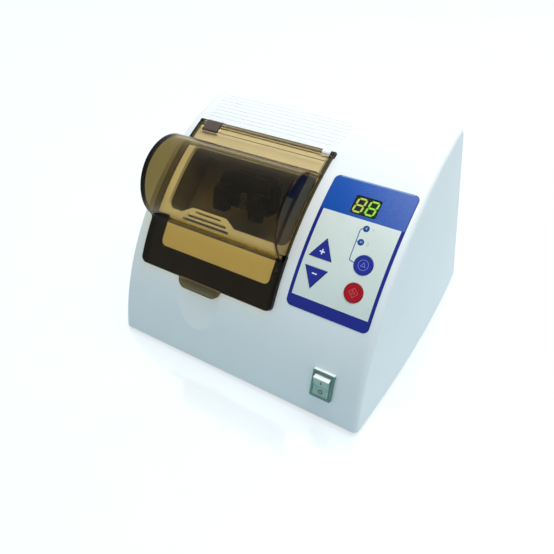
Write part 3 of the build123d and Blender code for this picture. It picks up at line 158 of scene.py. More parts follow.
def patchy(tree, vector, scale, spread, colour, shade):
    """The colour in soft patches, between a darker shade of it and itself."""
    share = ramp(tree, noise(tree, vector, scale), *spread, 0, 1)
    return blend_colours(tree, share, tuple(c * shade for c in colour), colour)


def add_grain(tree, body, vector, roughness, scale=GRAIN_SCALE, depth=GRAIN_DEPTH):
    """Uneven gloss and a fine relief, both from one noise texture."""
    grain = noise(tree, vector, scale, GRAIN_DETAIL)
    limits = (roughness - GLOSS_SPREAD, roughness + GLOSS_SPREAD)
    feed(tree, body.inputs["Roughness"], ramp(tree, grain, *NOISE_SPREAD, *limits))
    relief = add_node(tree, "Bump", {"Height": grain, "Distance": depth, "Strength": 1.0})
    feed(tree, body.inputs["Normal"], relief.outputs["Normal"])


def surface(
    name,
    colour,
    roughness,
    shade=0.94,
    patch_scale=45.0,
    grain_scale=GRAIN_SCALE,
    grain_depth=GRAIN_DEPTH,
    metallic=0.0,
    stretch=(1, 1, 1),
    coat=0.0,
    specular=0.5,
    lit_faces=None,
):
    """A moulded, painted or metal surface: patchy tone, uneven gloss and a fine grain.

    An optional (direction, limit, colour) gives the faces turned that way a colour of their own:
    painted light.
    """
    tree, out = new_material(name)
    vector = object_coords(tree, stretch)
    tone = patchy(tree, vector, patch_scale, PATCH_SPREAD, colour, shade)
    # faces turned towards the lamp get a paler colour: painted light
    if lit_faces:
        direction, limit, lit_colour = lit_faces
        normal = add_node(tree, "TexCoord").outputs["Normal"]
        facing = vector_calc(tree, "DOT_PRODUCT", normal, direction)
        tone = blend_colours(tree, calc(tree, "GREATER_THAN", facing, limit), tone, lit_colour)
    body = add_node(
        tree,
        "BsdfPrincipled",
        {
            "Base Color": tone,
            "Metallic": metallic,
            "Specular IOR Level": specular,
            "Coat Weight": coat,
            "Coat Roughness": COAT_ROUGHNESS,
        },
    )
    add_grain(tree, body, vector, roughness, grain_scale, grain_depth)
    feed(tree, out.inputs["Surface"], body.outputs["BSDF"])


def glow(name, colour, lens):
    """A lit segment: light of its own, a little uneven, from a dark lens."""
    tree, out = new_material(name)
    vector = object_coords(tree)
    body = add_node(
        tree,
        "BsdfPrincipled",
        {
            "Base Color": lens,
            "Roughness": LENS_ROUGHNESS,
            "Emission Color": patchy(
                tree, vector, GLOW_PATCHES, NOISE_SPREAD, colour, GLOW_SHADE
            ),
            "Emission Strength": 1.0,
        },
    )
    feed(tree, out.inputs["Surface"], body.outputs["BSDF"])


def speckled_fade(name, deep, pale, start, end, speck_scale):
    """Printed dots that thin out along a line: deep colour at its start, pale at its end."""
    tree, out = new_material(name)
    vector = object_coords(tree)
    line = end - start
    along_line = line / line.length_squared
    offset = along_line.dot(start)
    along = vector_calc(tree, "DOT_PRODUCT", vector, along_line)
    run = ramp(tree, along, offset, offset + 1, *FADE_RUN)
    dots = noise(tree, vector, speck_scale, SPECK_DETAIL, SPECK_ROUGH)
    specks = ramp(tree, dots, *NOISE_SPREAD, -0.5, 0.5)
    share = ramp(tree, calc(tree, "MULTIPLY_ADD", specks, SPECK_WEIGHT, run), 0, 1, 0, 1)
    body = add_node(
        tree,
        "BsdfPrincipled",
        {
            "Base Color": blend_colours(tree, share, deep, pale),
            "Specular IOR Level": PRINT_SPECULAR,
        },
    )
    add_grain(tree, body, vector, PRINT_ROUGHNESS)
    feed(tree, out.inputs["Surface"], body.outputs["BSDF"])


def clear_sheet(name, tint, dye_tint, density, roughness, smear, ior, tint_with_shade=None):
    """See-through plastic: a polished skin over a dye, with light passing to what lies under it.

    The optional tint function gives a tint that changes over the sheet, with painted shade and
    painted light in it.
    """
    tree, out = new_material(name)
    vector = object_coords(tree)
    wipe = noise(tree, vector, WIPE_SCALE, WIPE_DETAIL)
    glass = add_node(
        tree,
        "BsdfPrincipled",
        {
            "Base Color": tint,
            "Roughness": ramp(tree, wipe, *WIPE_SPREAD, roughness, roughness + smear),
            "IOR": ior,
            "Transmission Weight": 1.0,
        },
    )
    if tint_with_shade:
        feed(tree, glass.inputs["Base Color"], tint_with_shade(tree, vector, tint))
    passing = add_node(tree, "BsdfTransparent")
    shadow_ray = add_node(tree, "LightPath").outputs["Is Shadow Ray"]
    skin = mix_shaders(tree, shadow_ray, glass.outputs["BSDF"], passing.outputs["BSDF"])
    feed(tree, out.inputs["Surface"], skin)
    dye = add_node(tree, "VolumeAbsorption", {"Color": dye_tint, "Density": density})
    feed(tree, out.inputs["Volume"], dye.outputs["Volume"])


# ---------------------------------------------------------------- the cover's zones and its painted shade, in metres
COVER_MIDDLE = -0.0303  # in x; the next four are measured from there to either side
WALL_START, RIM_MIDDLE, RIM_HALF, FLANGE_START = 0.0529, 0.0546, 0.00042, 0.0555
BULGE_Y, BULGE_Z, BULGE_SKIN, SKIN_HALF = -0.0366, 0.110, 0.03075, 0.00085
# painted shade: dark lines on the bulge's skin and along the left foot, where the sheet is seen
# end-on
CREST_Y, ROOT_Z = -0.0225, 0.0954  # the bulge's skin is darkest behind the one, under the other
FOOT_X, FOOT_RADIUS = -0.0832, 0.1722  # the left foot: left of x, near the front's arc
TAB_TOP, FLAP_TOP, STRIP_FRONT = 0.0612, 0.0925, -0.0115  # two heights, and a place in y
# the flap's lighter tint is painted light; the wall and line tints are painted shade
STRIP_TINT, FLAP_LIGHT_TINT = (0.58, 0.54, 0.48), (0.64, 0.57, 0.38)
WALL_SHADE_TINT, EDGE_SHADE_TINT = (0.26, 0.24, 0.20), (0.04, 0.035, 0.03)


def axis_distance(tree, vector, y, z):
    """Distance from a line along x."""
    values = {"Vector": vector, "Scale": (0, 1, 1), "Location": (0, -y, -z)}
    return vector_calc(tree, "LENGTH", add_node(tree, "Mapping", values).outputs["Vector"])


def cover_tint_and_shade(tree, vector, tint):
    """The cover's tint, with painted shade: darker in end walls and tab, darkest in rims and
    roots.

    The darkness is painted shade where the sheet is seen end-on or lies over shade. The flap's
    lighter tint is painted light, for light reaching the casing through it. The hinge strip has a
    tint of its own.
    """

    def above(value, limit):
        return calc(tree, "GREATER_THAN", value, limit)

    def below(value, limit):
        return calc(tree, "LESS_THAN", value, limit)

    def both(first, second):
        return calc(tree, "MULTIPLY", first, second)

    def either(first, *others):
        for other in others:
            first = calc(tree, "MAXIMUM", first, other)
        return first

    axes = add_node(tree, "SeparateXYZ", {"Vector": vector})
    x, y, z = (axes.outputs[axis] for axis in "XYZ")
    side = calc(tree, "ABSOLUTE", calc(tree, "SUBTRACT", x, COVER_MIDDLE))
    from_bulge = axis_distance(tree, vector, BULGE_Y, BULGE_Z)
    skin = calc(tree, "COMPARE", from_bulge, BULGE_SKIN, SKIN_HALF)
    near_front = below(axis_distance(tree, vector, VAULT_Y * MM, VAULT_Z * MM), FOOT_RADIUS)
    # painted shade: dark lines where the sheet is seen end-on
    lines = either(
        both(skin, above(y, CREST_Y)),
        both(skin, below(z, ROOT_Z)),
        calc(tree, "COMPARE", side, RIM_MIDDLE, RIM_HALF),
        above(side, FLANGE_START),
        both(near_front, below(x, FOOT_X)),
    )
    colour = tint
    for zone, zone_tint in (
        (above(y, STRIP_FRONT), STRIP_TINT),
        (below(z, FLAP_TOP), FLAP_LIGHT_TINT),
        (either(above(side, WALL_START), below(z, TAB_TOP)), WALL_SHADE_TINT),
        (lines, EDGE_SHADE_TINT),
    ):
        colour = blend_colours(tree, zone, colour, zone_tint)
    return colour


# ---------------------------------------------------------------- materials
def srgb(r, g, b):
    """Colour from 0-255 display values."""
    return tuple(
        c / 12.92 if c <= 0.04045 else ((c + 0.055) / 1.055) ** 2.4
        for c in (r / 255, g / 255, b / 255)
    )


LIT_TOP_LIMIT = 0.6  # cosine of the angle within which a face counts as looking up the front


def switch_lit_tops(colour):
    """The faces of the mains switch that look up the front are paler: painted light on their tops.
    """
    return front_up(SWITCH_ARC), LIT_TOP_LIMIT, colour


# looks of the CAD nodes, which come with a plain material of the same name
METAL = dict(shade=0.85, metallic=1.0)
MEMBRANE = dict(grain_depth=0.00002, specular=PRINT_SPECULAR)
surface(
    "casing_white", srgb(240, 243, 244), 0.4, shade=0.985, grain_depth=0.00002, specular=0.4
)
surface("base_steel", (0.55, 0.56, 0.57), 0.34, stretch=(1, 12, 1), grain_scale=900.0, **METAL)
surface(
    "black_rubber", (0.006, 0.006, 0.006), 0.85, shade=0.7, grain_depth=0.00008, specular=0.06
)
surface("screw_steel", (0.62, 0.62, 0.64), 0.26, grain_scale=1800.0, **METAL)
surface("liner_black", (0.15, 0.128, 0.088), 0.5, shade=0.7, grain_depth=0.00006, specular=0.15)
surface("sensor_dark", (0.012, 0.004, 0.014), 0.1, shade=0.8, grain_depth=0.000005)
surface("clip_brown", (0.050, 0.022, 0.016), 0.25, shade=0.6, patch_scale=300.0, coat=0.4)
surface("keypad_print", srgb(28, 42, 142), 0.36, shade=0.86, patch_scale=160.0, **MEMBRANE)
surface("display_black", (0.006, 0.008, 0.006), 0.45, shade=0.8, specular=0.2)
surface(
    "lamp_blue", srgb(30, 92, 176), 0.14, shade=0.85, patch_scale=500.0, coat=0.2, specular=0.3
)
surface("board_green", (0.012, 0.09, 0.03), 0.35, shade=0.8, patch_scale=220.0, coat=0.3)
# the bezel: its faces that look up the front are paler, as painted highlight
surface(
    "bezel_grey",
    srgb(96, 140, 132),
    0.36,
    shade=0.8,
    patch_scale=220.0,
    grain_depth=0.00004,
    lit_faces=switch_lit_tops(srgb(232, 240, 240)),
)
surface("inlet_black", (0.014, 0.014, 0.015), 0.42, shade=0.8, grain_depth=0.00005)
surface(
    "frame_alloy",
    (0.52, 0.53, 0.54),
    0.45,
    shade=0.8,
    metallic=0.9,
    grain_scale=1500.0,
    grain_depth=0.0001,
)
surface("motor_paint", (0.03, 0.035, 0.04), 0.38, shade=0.8, coat=0.2, grain_depth=0.00006)
surface("bush_bronze", (0.45, 0.27, 0.11), 0.35, shade=0.75, metallic=1.0, patch_scale=300.0)
surface("arrow_blue", srgb(34, 46, 150), 0.38, shade=0.9, patch_scale=300.0, **MEMBRANE)
surface("key_blue", srgb(32, 48, 152), 0.36, shade=0.9, patch_scale=300.0, **MEMBRANE)
surface("key_red", srgb(182, 10, 30), 0.38, shade=0.8, patch_scale=420.0, specular=0.2)
# the rocker as lit and shaded copies of one colour: greener and darker as painted shade, pale on
# its tops as painted light
surface(
    "rocker_white",
    srgb(158, 190, 178),
    0.34,
    shade=0.9,
    patch_scale=300.0,
    lit_faces=switch_lit_tops(srgb(242, 247, 246)),
)
surface("shaft_steel", (0.58, 0.58, 0.6), 0.2, stretch=(8, 1, 1), grain_scale=700.0, **METAL)
surface(
    "fork_black", (0.003, 0.003, 0.003), 0.45, shade=0.6, grain_depth=0.00005, specular=0.05
)
clear_sheet(
    "window_dark",
    tint=(0.8, 0.9, 0.75),
    dye_tint=(0.50, 0.62, 0.45),
    density=500.0,
    roughness=0.02,
    smear=0.03,
    ior=1.12,
)
# the smoked cover, its tint with painted shade and painted light
clear_sheet(
    "smoked_acrylic",
    tint=(0.56, 0.50, 0.33),
    dye_tint=(0.83, 0.70, 0.14),
    density=140.0,
    roughness=0.01,
    smear=0.05,
    ior=1.2,
    tint_with_shade=cover_tint_and_shade,
)
surface("screw_black", (0.02, 0.019, 0.018), 0.35, shade=0.8, specular=0.3)
for node in nodes.values():
    for holder in node.material_slots:
        holder.material = finish[holder.material.name.split(".")[0]]
for holder in nodes["arm_screws"].material_slots:
    holder.material = finish["screw_black"]

# looks of the pieces that are added here
speckled_fade(
    "header_blue",
    deep=srgb(2, 78, 170),
    pale=srgb(84, 110, 182),
    start=on_front(45, 138),
    end=on_front(92, 160),
    speck_scale=1500.0,
)
surface("label_white", srgb(226, 234, 228), 0.4, shade=0.95, patch_scale=60.0, specular=0.25)
surface("line_blue", srgb(32, 78, 150), 0.4, shade=0.9)
# pale line for the header's top border: painted highlight
surface("pale_highlight", srgb(120, 166, 206), 0.4, shade=0.9)
surface("ink_white", srgb(238, 240, 246), 0.4, shade=0.95)
surface("ink_grey", srgb(176, 190, 186), 0.45, shade=0.95)
surface("ink_dark", srgb(14, 48, 38), 0.45, shade=0.85)
surface("key_line", srgb(136, 130, 214), 0.4, shade=0.9)
surface("red_line", srgb(228, 92, 100), 0.4, shade=0.9)
glow("segment_amber", srgb(206, 214, 104), (0.05, 0.06, 0.01))
glow("segment_green", srgb(164, 240, 62), (0.04, 0.08, 0.01))
surface("lamp_centre", srgb(128, 176, 220), 0.2, shade=0.85, patch_scale=700.0)
# dark line on the cover's step: painted shade
surface(
    "step_shade_dark", (0.030, 0.022, 0.010), 0.3, shade=0.7, patch_scale=300.0, specular=0.3
)

# ---------------------------------------------------------------- outlines, in mm
CORNER_STEPS, RING_STEPS = 6, 48
MITRE_LIMIT = 0.5  # how sharp a bend keeps its full corner


def box_loop(left, low, right, high, radius=0.0):
    """A rectangle, with rounded corners where a radius is given."""
    if radius <= 0:
        return [(left, low), (right, low), (right, high), (left, high)]
    loop = []
    centres = (
        (right - radius, low + radius, -90),
        (right - radius, high - radius, 0),
        (left + radius, high - radius, 90),
        (left + radius, low + radius, 180),
    )
    for cx, cy, start in centres:
        for i in range(CORNER_STEPS + 1):
            a = math.radians(start + 90 * i / CORNER_STEPS)
            loop.append((cx + radius * math.cos(a), cy + radius * math.sin(a)))
    return loop


def centred_box(cx, cy, half_width, half_height, radius=0.0):
    return box_loop(cx - half_width, cy - half_height, cx + half_width, cy + half_height, radius)


def ring_loops(cx, cy, outer, inner=0.0):
    """A disc, or a ring where an inner radius is given."""
    turn = [2 * math.pi * i / RING_STEPS for i in range(RING_STEPS)]
    radii = (outer, inner) if inner > 0 else (outer,)
    return [[(cx + r * math.cos(a), cy + r * math.sin(a)) for a in turn] for r in radii]


def stroke_loop(points, width):
    """A thin line of constant width through the points, as one closed loop."""
    left, right = [], []
    for i, (x, y) in enumerate(points):
        before = points[max(i - 1, 0)]
        after = points[min(i + 1, len(points) - 1)]
        first = Vector((x - before[0], y - before[1]))
        second = Vector((after[0] - x, after[1] - y))
        first = first.normalized() if first.length > 0 else second.normalized()
        second = second.normalized() if second.length > 0 else first
        along = (first + second).normalized()
        side = Vector((-along.y, along.x))
        half = width / 2 / max(MITRE_LIMIT, side.dot(Vector((-first.y, first.x))))
        left.append((x + side.x * half, y + side.y * half))
        right.append((x - side.x * half, y - side.y * half))
    return left + right[::-1]


# ---------------------------------------------------------------- pieces from outlines
STRIP = 2.0  # a patch on the curved front is cut into strips of this width, in mm
LEAST_STRIP = 0.2  # no cut is made where less than this part of a strip is left
MERGE = 1e-5


def add_object(name, data):
    made = bpy.data.objects.new(name, data)
    bpy.context.scene.collection.objects.link(made)
    return made


def add_piece(name, mesh, look, body, slot):
    piece = add_object(name, mesh)
    mesh.materials.append(finish[look])
    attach(piece, body)


def flat_shape(loops):
    """Flat outline loops, holes among them, filled."""
    curve = bpy.data.curves.new("outline", "CURVE")
    curve.dimensions = "2D"
    curve.fill_mode = "BOTH"
    for loop in loops:
        spline = curve.splines.new("POLY")
        spline.points.add(len(loop) - 1)
        for point, (x, y) in zip(spline.points, loop):
            point.co = (x, y, 0, 1)
        spline.use_cyclic_u = True
    holder = bpy.data.objects.new("outline", curve)
    mesh = bpy.data.meshes.new_from_object(holder)
    bpy.data.objects.remove(holder)
    bpy.data.curves.remove(curve)
    shape = bmesh.new()
    shape.from_mesh(mesh)
    bpy.data.meshes.remove(mesh)
    bmesh.ops.remove_doubles(shape, verts=shape.verts, dist=MERGE)
    return shape


def cut_strips(shape):
    """Cut the flat shape into strips along y, so that it can follow the curve."""
    low = min(v.co.y for v in shape.verts)
    high = max(v.co.y for v in shape.verts)
    level = low + STRIP
    while level < high - LEAST_STRIP * STRIP:
        everything = shape.verts[:] + shape.edges[:] + shape.faces[:]
        bmesh.ops.bisect_plane(shape, geom=everything, plane_co=(0, level, 0), plane_no=(0, 1, 0))
        level += STRIP


def slab(shape, place, low, high):
    """The flat shape lifted to a closed slab; place(x, y, height) gives a point in metres."""
    shape.verts.index_update()
    bmesh.ops.recalc_face_normals(shape, faces=shape.faces[:])
    if sum(f.normal.z for f in shape.faces) < 0:
        bmesh.ops.reverse_faces(shape, faces=shape.faces[:])
    flat = [(v.co.x, v.co.y) for v in shape.verts]
    faces = [[v.index for v in f.verts] for f in shape.faces]
    rim = [
        (e.link_loops[0].vert.index, e.link_loops[0].link_loop_next.vert.index)
        for e in shape.edges
        if len(e.link_loops) == 1
    ]
    shape.free()
    count = len(flat)
    points = [place(x, y, high) for x, y in flat] + [place(x, y, low) for x, y in flat]
    rings = faces + [[i + count for i in reversed(f)] for f in faces]
    rings += [[b, a, a + count, b + count] for a, b in rim]
    mesh = bpy.data.meshes.new("slab")
    mesh.from_pydata(points, [], rings)
    mesh.update()
    return mesh


def front_print(name, loops, low, high, look, body="casing", slot="keypad_print"):
    """A patch that follows the curved front, between two heights over it."""
    shape = flat_shape(loops)
    cut_strips(shape)
    add_piece(name, slab(shape, on_front, low, high), look, body, slot)


def flat_print(name, loops, origin, up, low, high, look, body, slot):
    """A flat patch about an origin in metres, with its lines level along x."""
    out = ACROSS.cross(up)

    def place(x, y, height):
        return origin + (ACROSS * x + up * y + out * height) * MM

    add_piece(name, slab(flat_shape(loops), place, low, high), look, body, slot)


def spot_print(name, loops, spot, low, high, look, body, slot):
    """A flat patch about a spot of the front, square to the front there."""
    flat_print(name, loops, on_front(*spot), front_up(spot[1]), low, high, look, body, slot)


# ---------------------------------------------------------------- keypad print
KEYPAD_LEFT, KEYPAD_RIGHT, KEYPAD_TOP = 33.7, 91.5, 162.5
AREA_LOW, AREA_HIGH = 0.1, 0.24  # heights of the printed areas over the front
LINE_LOW, LINE_HIGH, LINE_WIDTH = 0.2, 0.27, 0.55  # and of the thin lines on them
WINDOW, WINDOW_HALF, WINDOW_CORNER = (62.05, 145.45), (8.9, 6.5), 1.5
UP_KEY, DOWN_KEY = (47.0, 109.4), (47.0, 94.1)
MODE_KEY, START_KEY, KEY_HOLE = (75.2, 109.6), (75.2, 91.7), 6.45
LAMPS, LAMP_HOLE = ((68.25, 131.7), (68.25, 122.6)), 1.65
HEADER_LOW, HEADER_MARGIN, HEADER_CORNER = 136.9, 0.35, 3.7
FIELD_BOX = (36.1, 78.2, 89.4, 136.7)
TOP_LINE_INSET, TOP_LINE_DROP, TOP_LINE_WIDTH, TOP_LINE_HIGH = 3.6, 0.55, 0.8, 0.25

header_left, header_right = KEYPAD_LEFT + HEADER_MARGIN, KEYPAD_RIGHT - HEADER_MARGIN
header_box = box_loop(
    header_left, HEADER_LOW, header_right, KEYPAD_TOP - HEADER_MARGIN, HEADER_CORNER
)
header = [(header_right, HEADER_LOW)]
header += [(x, y) for x, y in header_box if y > HEADER_LOW + 2 * HEADER_CORNER]
header += [(header_left, HEADER_LOW)]
window_hole = centred_box(*WINDOW, *WINDOW_HALF, WINDOW_CORNER)
front_print("print_header", [header, window_hole], AREA_LOW, AREA_HIGH, "header_blue")

ARROW_HALF, ARROW_APEX, ARROW_FOOT, ARROW_GAP = 7.7, 8.7, 4.3, 0.3
HALF_GROWTH, APEX_GROWTH = 1.9, 2.1  # a corner moves out further than the gap is wide


def arrow_hole(at, turn):
    """Outline round an arrow key; turn is 1 where the key points up, -1 where down."""
    x, y = at
    half = ARROW_HALF + HALF_GROWTH * ARROW_GAP
    apex = ARROW_APEX + APEX_GROWTH * ARROW_GAP
    foot = ARROW_FOOT + ARROW_GAP
    return [(x - half, y - foot * turn), (x + half, y - foot * turn), (x, y + apex * turn)]


field = [box_loop(*FIELD_BOX), arrow_hole(UP_KEY, 1), arrow_hole(DOWN_KEY, -1)]
for spot in (MODE_KEY, START_KEY):
    field += ring_loops(*spot, KEY_HOLE)
for spot in LAMPS:
    field += ring_loops(*spot, LAMP_HOLE)
front_print("print_field", field, AREA_LOW, AREA_HIGH, "label_white")

# a pale line along the header's top border: painted highlight
top_line = [
    (x, KEYPAD_TOP - TOP_LINE_DROP)
    for x in (KEYPAD_LEFT + TOP_LINE_INSET, KEYPAD_RIGHT - TOP_LINE_INSET)
]
front_print(
    "top_border_highlight", [stroke_loop(top_line, TOP_LINE_WIDTH)], AREA_LOW, TOP_LINE_HIGH, "pale_highlight"
)

# the line that joins the two lamps to the mode key
BRACKET = (
    (66.6, 131.5),
    (65.3, 130.7),
    (64.8, 129.3),
    (65.1, 122.6),
    (65.3, 111.2),
    (65.7, 110.0),
    (68.9, 109.4),
)
BRANCH = ((65.0, 122.6), (66.8, 122.6))
for name, points in (("print_bracket", BRACKET), ("print_branch", BRANCH)):
    front_print(name, [stroke_loop(points, LINE_WIDTH)], LINE_LOW, LINE_HIGH, "line_blue")

LAMP_RING, LAMP_CENTRE = (2.15, 1.62), 0.6
CENTRE_LOW, CENTRE_HIGH = 0.44, 0.53
for number, spot in enumerate(LAMPS, 1):
    ring = ring_loops(*spot, *LAMP_RING)
    front_print(f"print_lamp_ring_{number}", ring, LINE_LOW, LINE_HIGH, "line_blue")
    spot_print(
        f"lamp_centre_{number}",
        ring_loops(0, 0, LAMP_CENTRE),
        spot,
        CENTRE_LOW,
        CENTRE_HIGH,
        "lamp_centre",
        "casing",
        "lamp_blue",
    )

# plain numbers beside the two lamps
NUMBER_SHIFT, ONE_WIDTH, TWO_WIDTH = 4.6, 0.32, 0.3
ONE = ((-0.45, 0.55), (0.1, 1.1), (0.1, -1.1))
TWO = (
    (-0.65, 0.6),
    (-0.45, 0.98),
    (0, 1.12),
    (0.5, 0.95),
    (0.65, 0.5),
    (0.4, 0.0),
    (-0.65, -1.02),
    (0.7, -1.02),
)
numbers = ((ONE, ONE_WIDTH), (TWO, TWO_WIDTH))
for number, ((points, width), spot) in enumerate(zip(numbers, LAMPS), 1):
    loop = [(x + spot[0] + NUMBER_SHIFT, y + spot[1]) for x, y in stroke_loop(points, width)]
    front_print(f"print_number_{number}", [loop], LINE_LOW, LINE_HIGH, "ink_grey")

# ---------------------------------------------------------------- marks on the keys
KEY_TOP, MARK_HEIGHT = 0.59, 0.05
BAR, ARM = 0.42, 1.75  # half width and half length of a bar of the plus and the minus
MINUS_SHIFT = 0.6
plus = [
    (-BAR, -BAR), (-BAR, -ARM), (BAR, -ARM), (BAR, -BAR), (ARM, -BAR), (ARM, BAR),
    (BAR, BAR), (BAR, ARM), (-BAR, ARM), (-BAR, BAR), (-ARM, BAR), (-ARM, -BAR),
]
minus = centred_box(0, 0, ARM, BAR)
minus_at = (DOWN_KEY[0], DOWN_KEY[1] + MINUS_SHIFT)
ring = ring_loops(0, 0, 3.45, 3.12)
triangle = [
    [(-1.75, -1.15), (1.75, -1.15), (0, 1.9)],
    [(-1.15, -0.8), (1.15, -0.8), (0, 1.2)],
]
diamond = [[(-r, 0), (0, -r), (r, 0), (0, r)] for r in (3.3, 2.85)]
start_sign = [
    [(-1.0, -1.5), (1.55, 0), (-1.0, 1.5)],
    [(-0.7, -1.0), (1.0, 0), (-0.7, 1.0)],
]
for name, loops, spot, look, body, slot in (
    ("mark_plus", [plus], UP_KEY, "ink_white", "up_button", "arrow_blue"),
    ("mark_minus", [minus], minus_at, "ink_white", "down_button", "arrow_blue"),
    ("mark_ring", ring, MODE_KEY, "key_line", "mode_button", "key_blue"),
    ("mark_triangle", triangle, MODE_KEY, "key_line", "mode_button", "key_blue"),
    ("mark_diamond", diamond, START_KEY, "red_line", "start_button", "key_red"),
    ("mark_start", start_sign, START_KEY, "red_line", "start_button", "key_red"),
):
    spot_print(name, loops, spot, KEY_TOP, KEY_TOP + MARK_HEIGHT, look, body, slot)

# ---------------------------------------------------------------- display
BACK_LOW, BACK_HIGH, BACK_HALF, BACK_CORNER = -0.56, -0.5, (8.6, 6.2), 1.2
DIGIT_LOW, DIGIT_HIGH, TENS_SHIFT, ONES_SHIFT = -0.44, -0.36, -4.3, 4.1
DIGIT_HALF, DIGIT_REACH, SLANT = 2.7, 4.7, 0.13
BAR_HALF, BAR_GAP = 0.62, 0.22
spot_print(
    "display_back",
    [centred_box(0, 0, *BACK_HALF, BACK_CORNER)],
    WINDOW,
    BACK_LOW,
    BACK_HIGH,
    "display_black",
    "casing",
    "display_black",
)


def segment(start, end):
    """One bar of a digit: pointed at both ends, leaning with the digit."""
    along = Vector((end[0] - start[0], end[1] - start[1])).normalized()
    side = Vector((-along.y, along.x)) * BAR_HALF
    first = Vector(start) + along * BAR_GAP
    last = Vector(end) - along * BAR_GAP
    points = [
        first,
        first + along * BAR_HALF - side,
        last - along * BAR_HALF - side,
        last,
        last - along * BAR_HALF + side,
        first + along * BAR_HALF + side,
    ]
    return [(p.x + SLANT * p.y, p.y) for p in points]


# the ends of each bar, in halves of the digit's width and height
BARS = {
    "a": ((-1, 1), (1, 1)),
    "b": ((1, 1), (1, 0)),
    "c": ((1, 0), (1, -1)),
    "d": ((-1, -1), (1, -1)),
    "e": ((-1, 0), (-1, -1)),
    "f": ((-1, 1), (-1, 0)),
    "g": ((-1, 0), (1, 0)),
}
for digit, shift, look in (
    ("tens", TENS_SHIFT, "segment_amber"),
    ("ones", ONES_SHIFT, "segment_green"),
):
    for letter, ends in BARS.items():
        start, end = ((x * DIGIT_HALF, y * DIGIT_REACH) for x, y in ends)
        loop = [(x + shift, y) for x, y in segment(start, end)]
        spot_print(
            f"digit_{digit}_{letter}",
            [loop],
            WINDOW,
            DIGIT_LOW,
            DIGIT_HIGH,
            look,
            "casing",
            "display_black",
        )

# ---------------------------------------------------------------- marks on the mains switch
PIVOT_DROP, LEAN, CROWN = 1.0, math.radians(13), 3.3
ROCKER_MARK_LOW, ROCKER_MARK_HIGH = -0.03, 0.04
ON_AT, ON_HALF, ON_CORNER = 3.7, (0.42, 1.5), 0.1
OFF_AT, OFF_RADII = -3.9, (1.5, 0.95)
pivot = on_front(SWITCH_X, SWITCH_ARC, -PIVOT_DROP)
slope, outward = front_up(SWITCH_ARC), front_normal(SWITCH_ARC)
lean_along = slope * math.cos(LEAN) + outward * math.sin(LEAN)
lean_out = outward * math.cos(LEAN) - slope * math.sin(LEAN)


def rocker_mark(name, loops, along):
    """A mark moulded into one face of the rocker, at a distance from its middle."""
    turn = math.copysign(LEAN, along)
    spot = pivot + (lean_along * along + lean_out * (CROWN + abs(along) * math.tan(LEAN))) * MM
    flat_print(
        name,
        loops,
        spot,
        lean_along * math.cos(turn) + lean_out * math.sin(turn),
        ROCKER_MARK_LOW,
        ROCKER_MARK_HIGH,
        "ink_dark",
        "rocker",
        "rocker_white",
    )


rocker_mark("mark_on", [centred_box(0, 0, *ON_HALF, ON_CORNER)], ON_AT)
rocker_mark("mark_off", ring_loops(0, 0, *OFF_RADII), OFF_AT)

# ---------------------------------------------------------------- louvre floors
LOUVRES, LOUVRE_FIRST, LOUVRE_PITCH = 8, 182.5, 3.6
LOUVRE_LEFT, LOUVRE_RIGHT, LOUVRE_CORNER = -83.4, 23.9, 0.5
LOUVRE_START, LOUVRE_END = 0.02, 1.18
LOUVRE_LOW, LOUVRE_HIGH = -0.65, -0.13
for row in range(LOUVRES):
    arc = LOUVRE_FIRST + LOUVRE_PITCH * row
    loop = box_loop(
        LOUVRE_LEFT, arc + LOUVRE_START, LOUVRE_RIGHT, arc + LOUVRE_END, LOUVRE_CORNER
    )
    front_print(
        f"louvre_floor_{row + 1}",
        [loop],
        LOUVRE_LOW,
        LOUVRE_HIGH,
        "casing_white",
        "casing",
        "casing_white",
    )

# ---------------------------------------------------------------- painted shade on the cover
# a dark line along the step of the cover's sheet near the hinge: painted shade
STEP_SHADE_BOX, STEP_SHADE_LOW, STEP_SHADE_HIGH = (-84.8, 167.3, 25.4, 167.75), 2.97, 3.04
front_print(
    "cover_step_shade",
    [box_loop(*STEP_SHADE_BOX)],
    STEP_SHADE_LOW,
    STEP_SHADE_HIGH,
    "step_shade_dark",
    "cover",
    "smoked_acrylic",
)

bpy.context.view_layer.update()

# ---------------------------------------------------------------- camera
AZIMUTH, ELEVATION, ROLL = math.radians(33.09), math.radians(39.64), math.radians(-1.94)
CAMERA_AT = (0.18019, -0.30654, 0.31863)
SENSOR, LENS = 36.0, 37.38
ahead = Vector(
    (
        -math.sin(AZIMUTH) * math.cos(ELEVATION),
        math.cos(AZIMUTH) * math.cos(ELEVATION),
        -math.sin(ELEVATION),
    )
)
level_right = Vector((math.cos(AZIMUTH), math.sin(AZIMUTH), 0))
level_up = level_right.cross(ahead)
right = level_right * math.cos(ROLL) + level_up * math.sin(ROLL)
up = level_up * math.cos(ROLL) - level_right * math.sin(ROLL)
camera_data = bpy.data.cameras.new("camera")
camera_data.sensor_width = SENSOR
camera_data.lens = LENS
camera_data.clip_start, camera_data.clip_end = 0.01, 50.0
camera = add_object("camera", camera_data)
camera.matrix_world = Matrix((*zip(right, up, -ahead, CAMERA_AT), (0, 0, 0, 1)))
bpy.context.scene.camera = camera

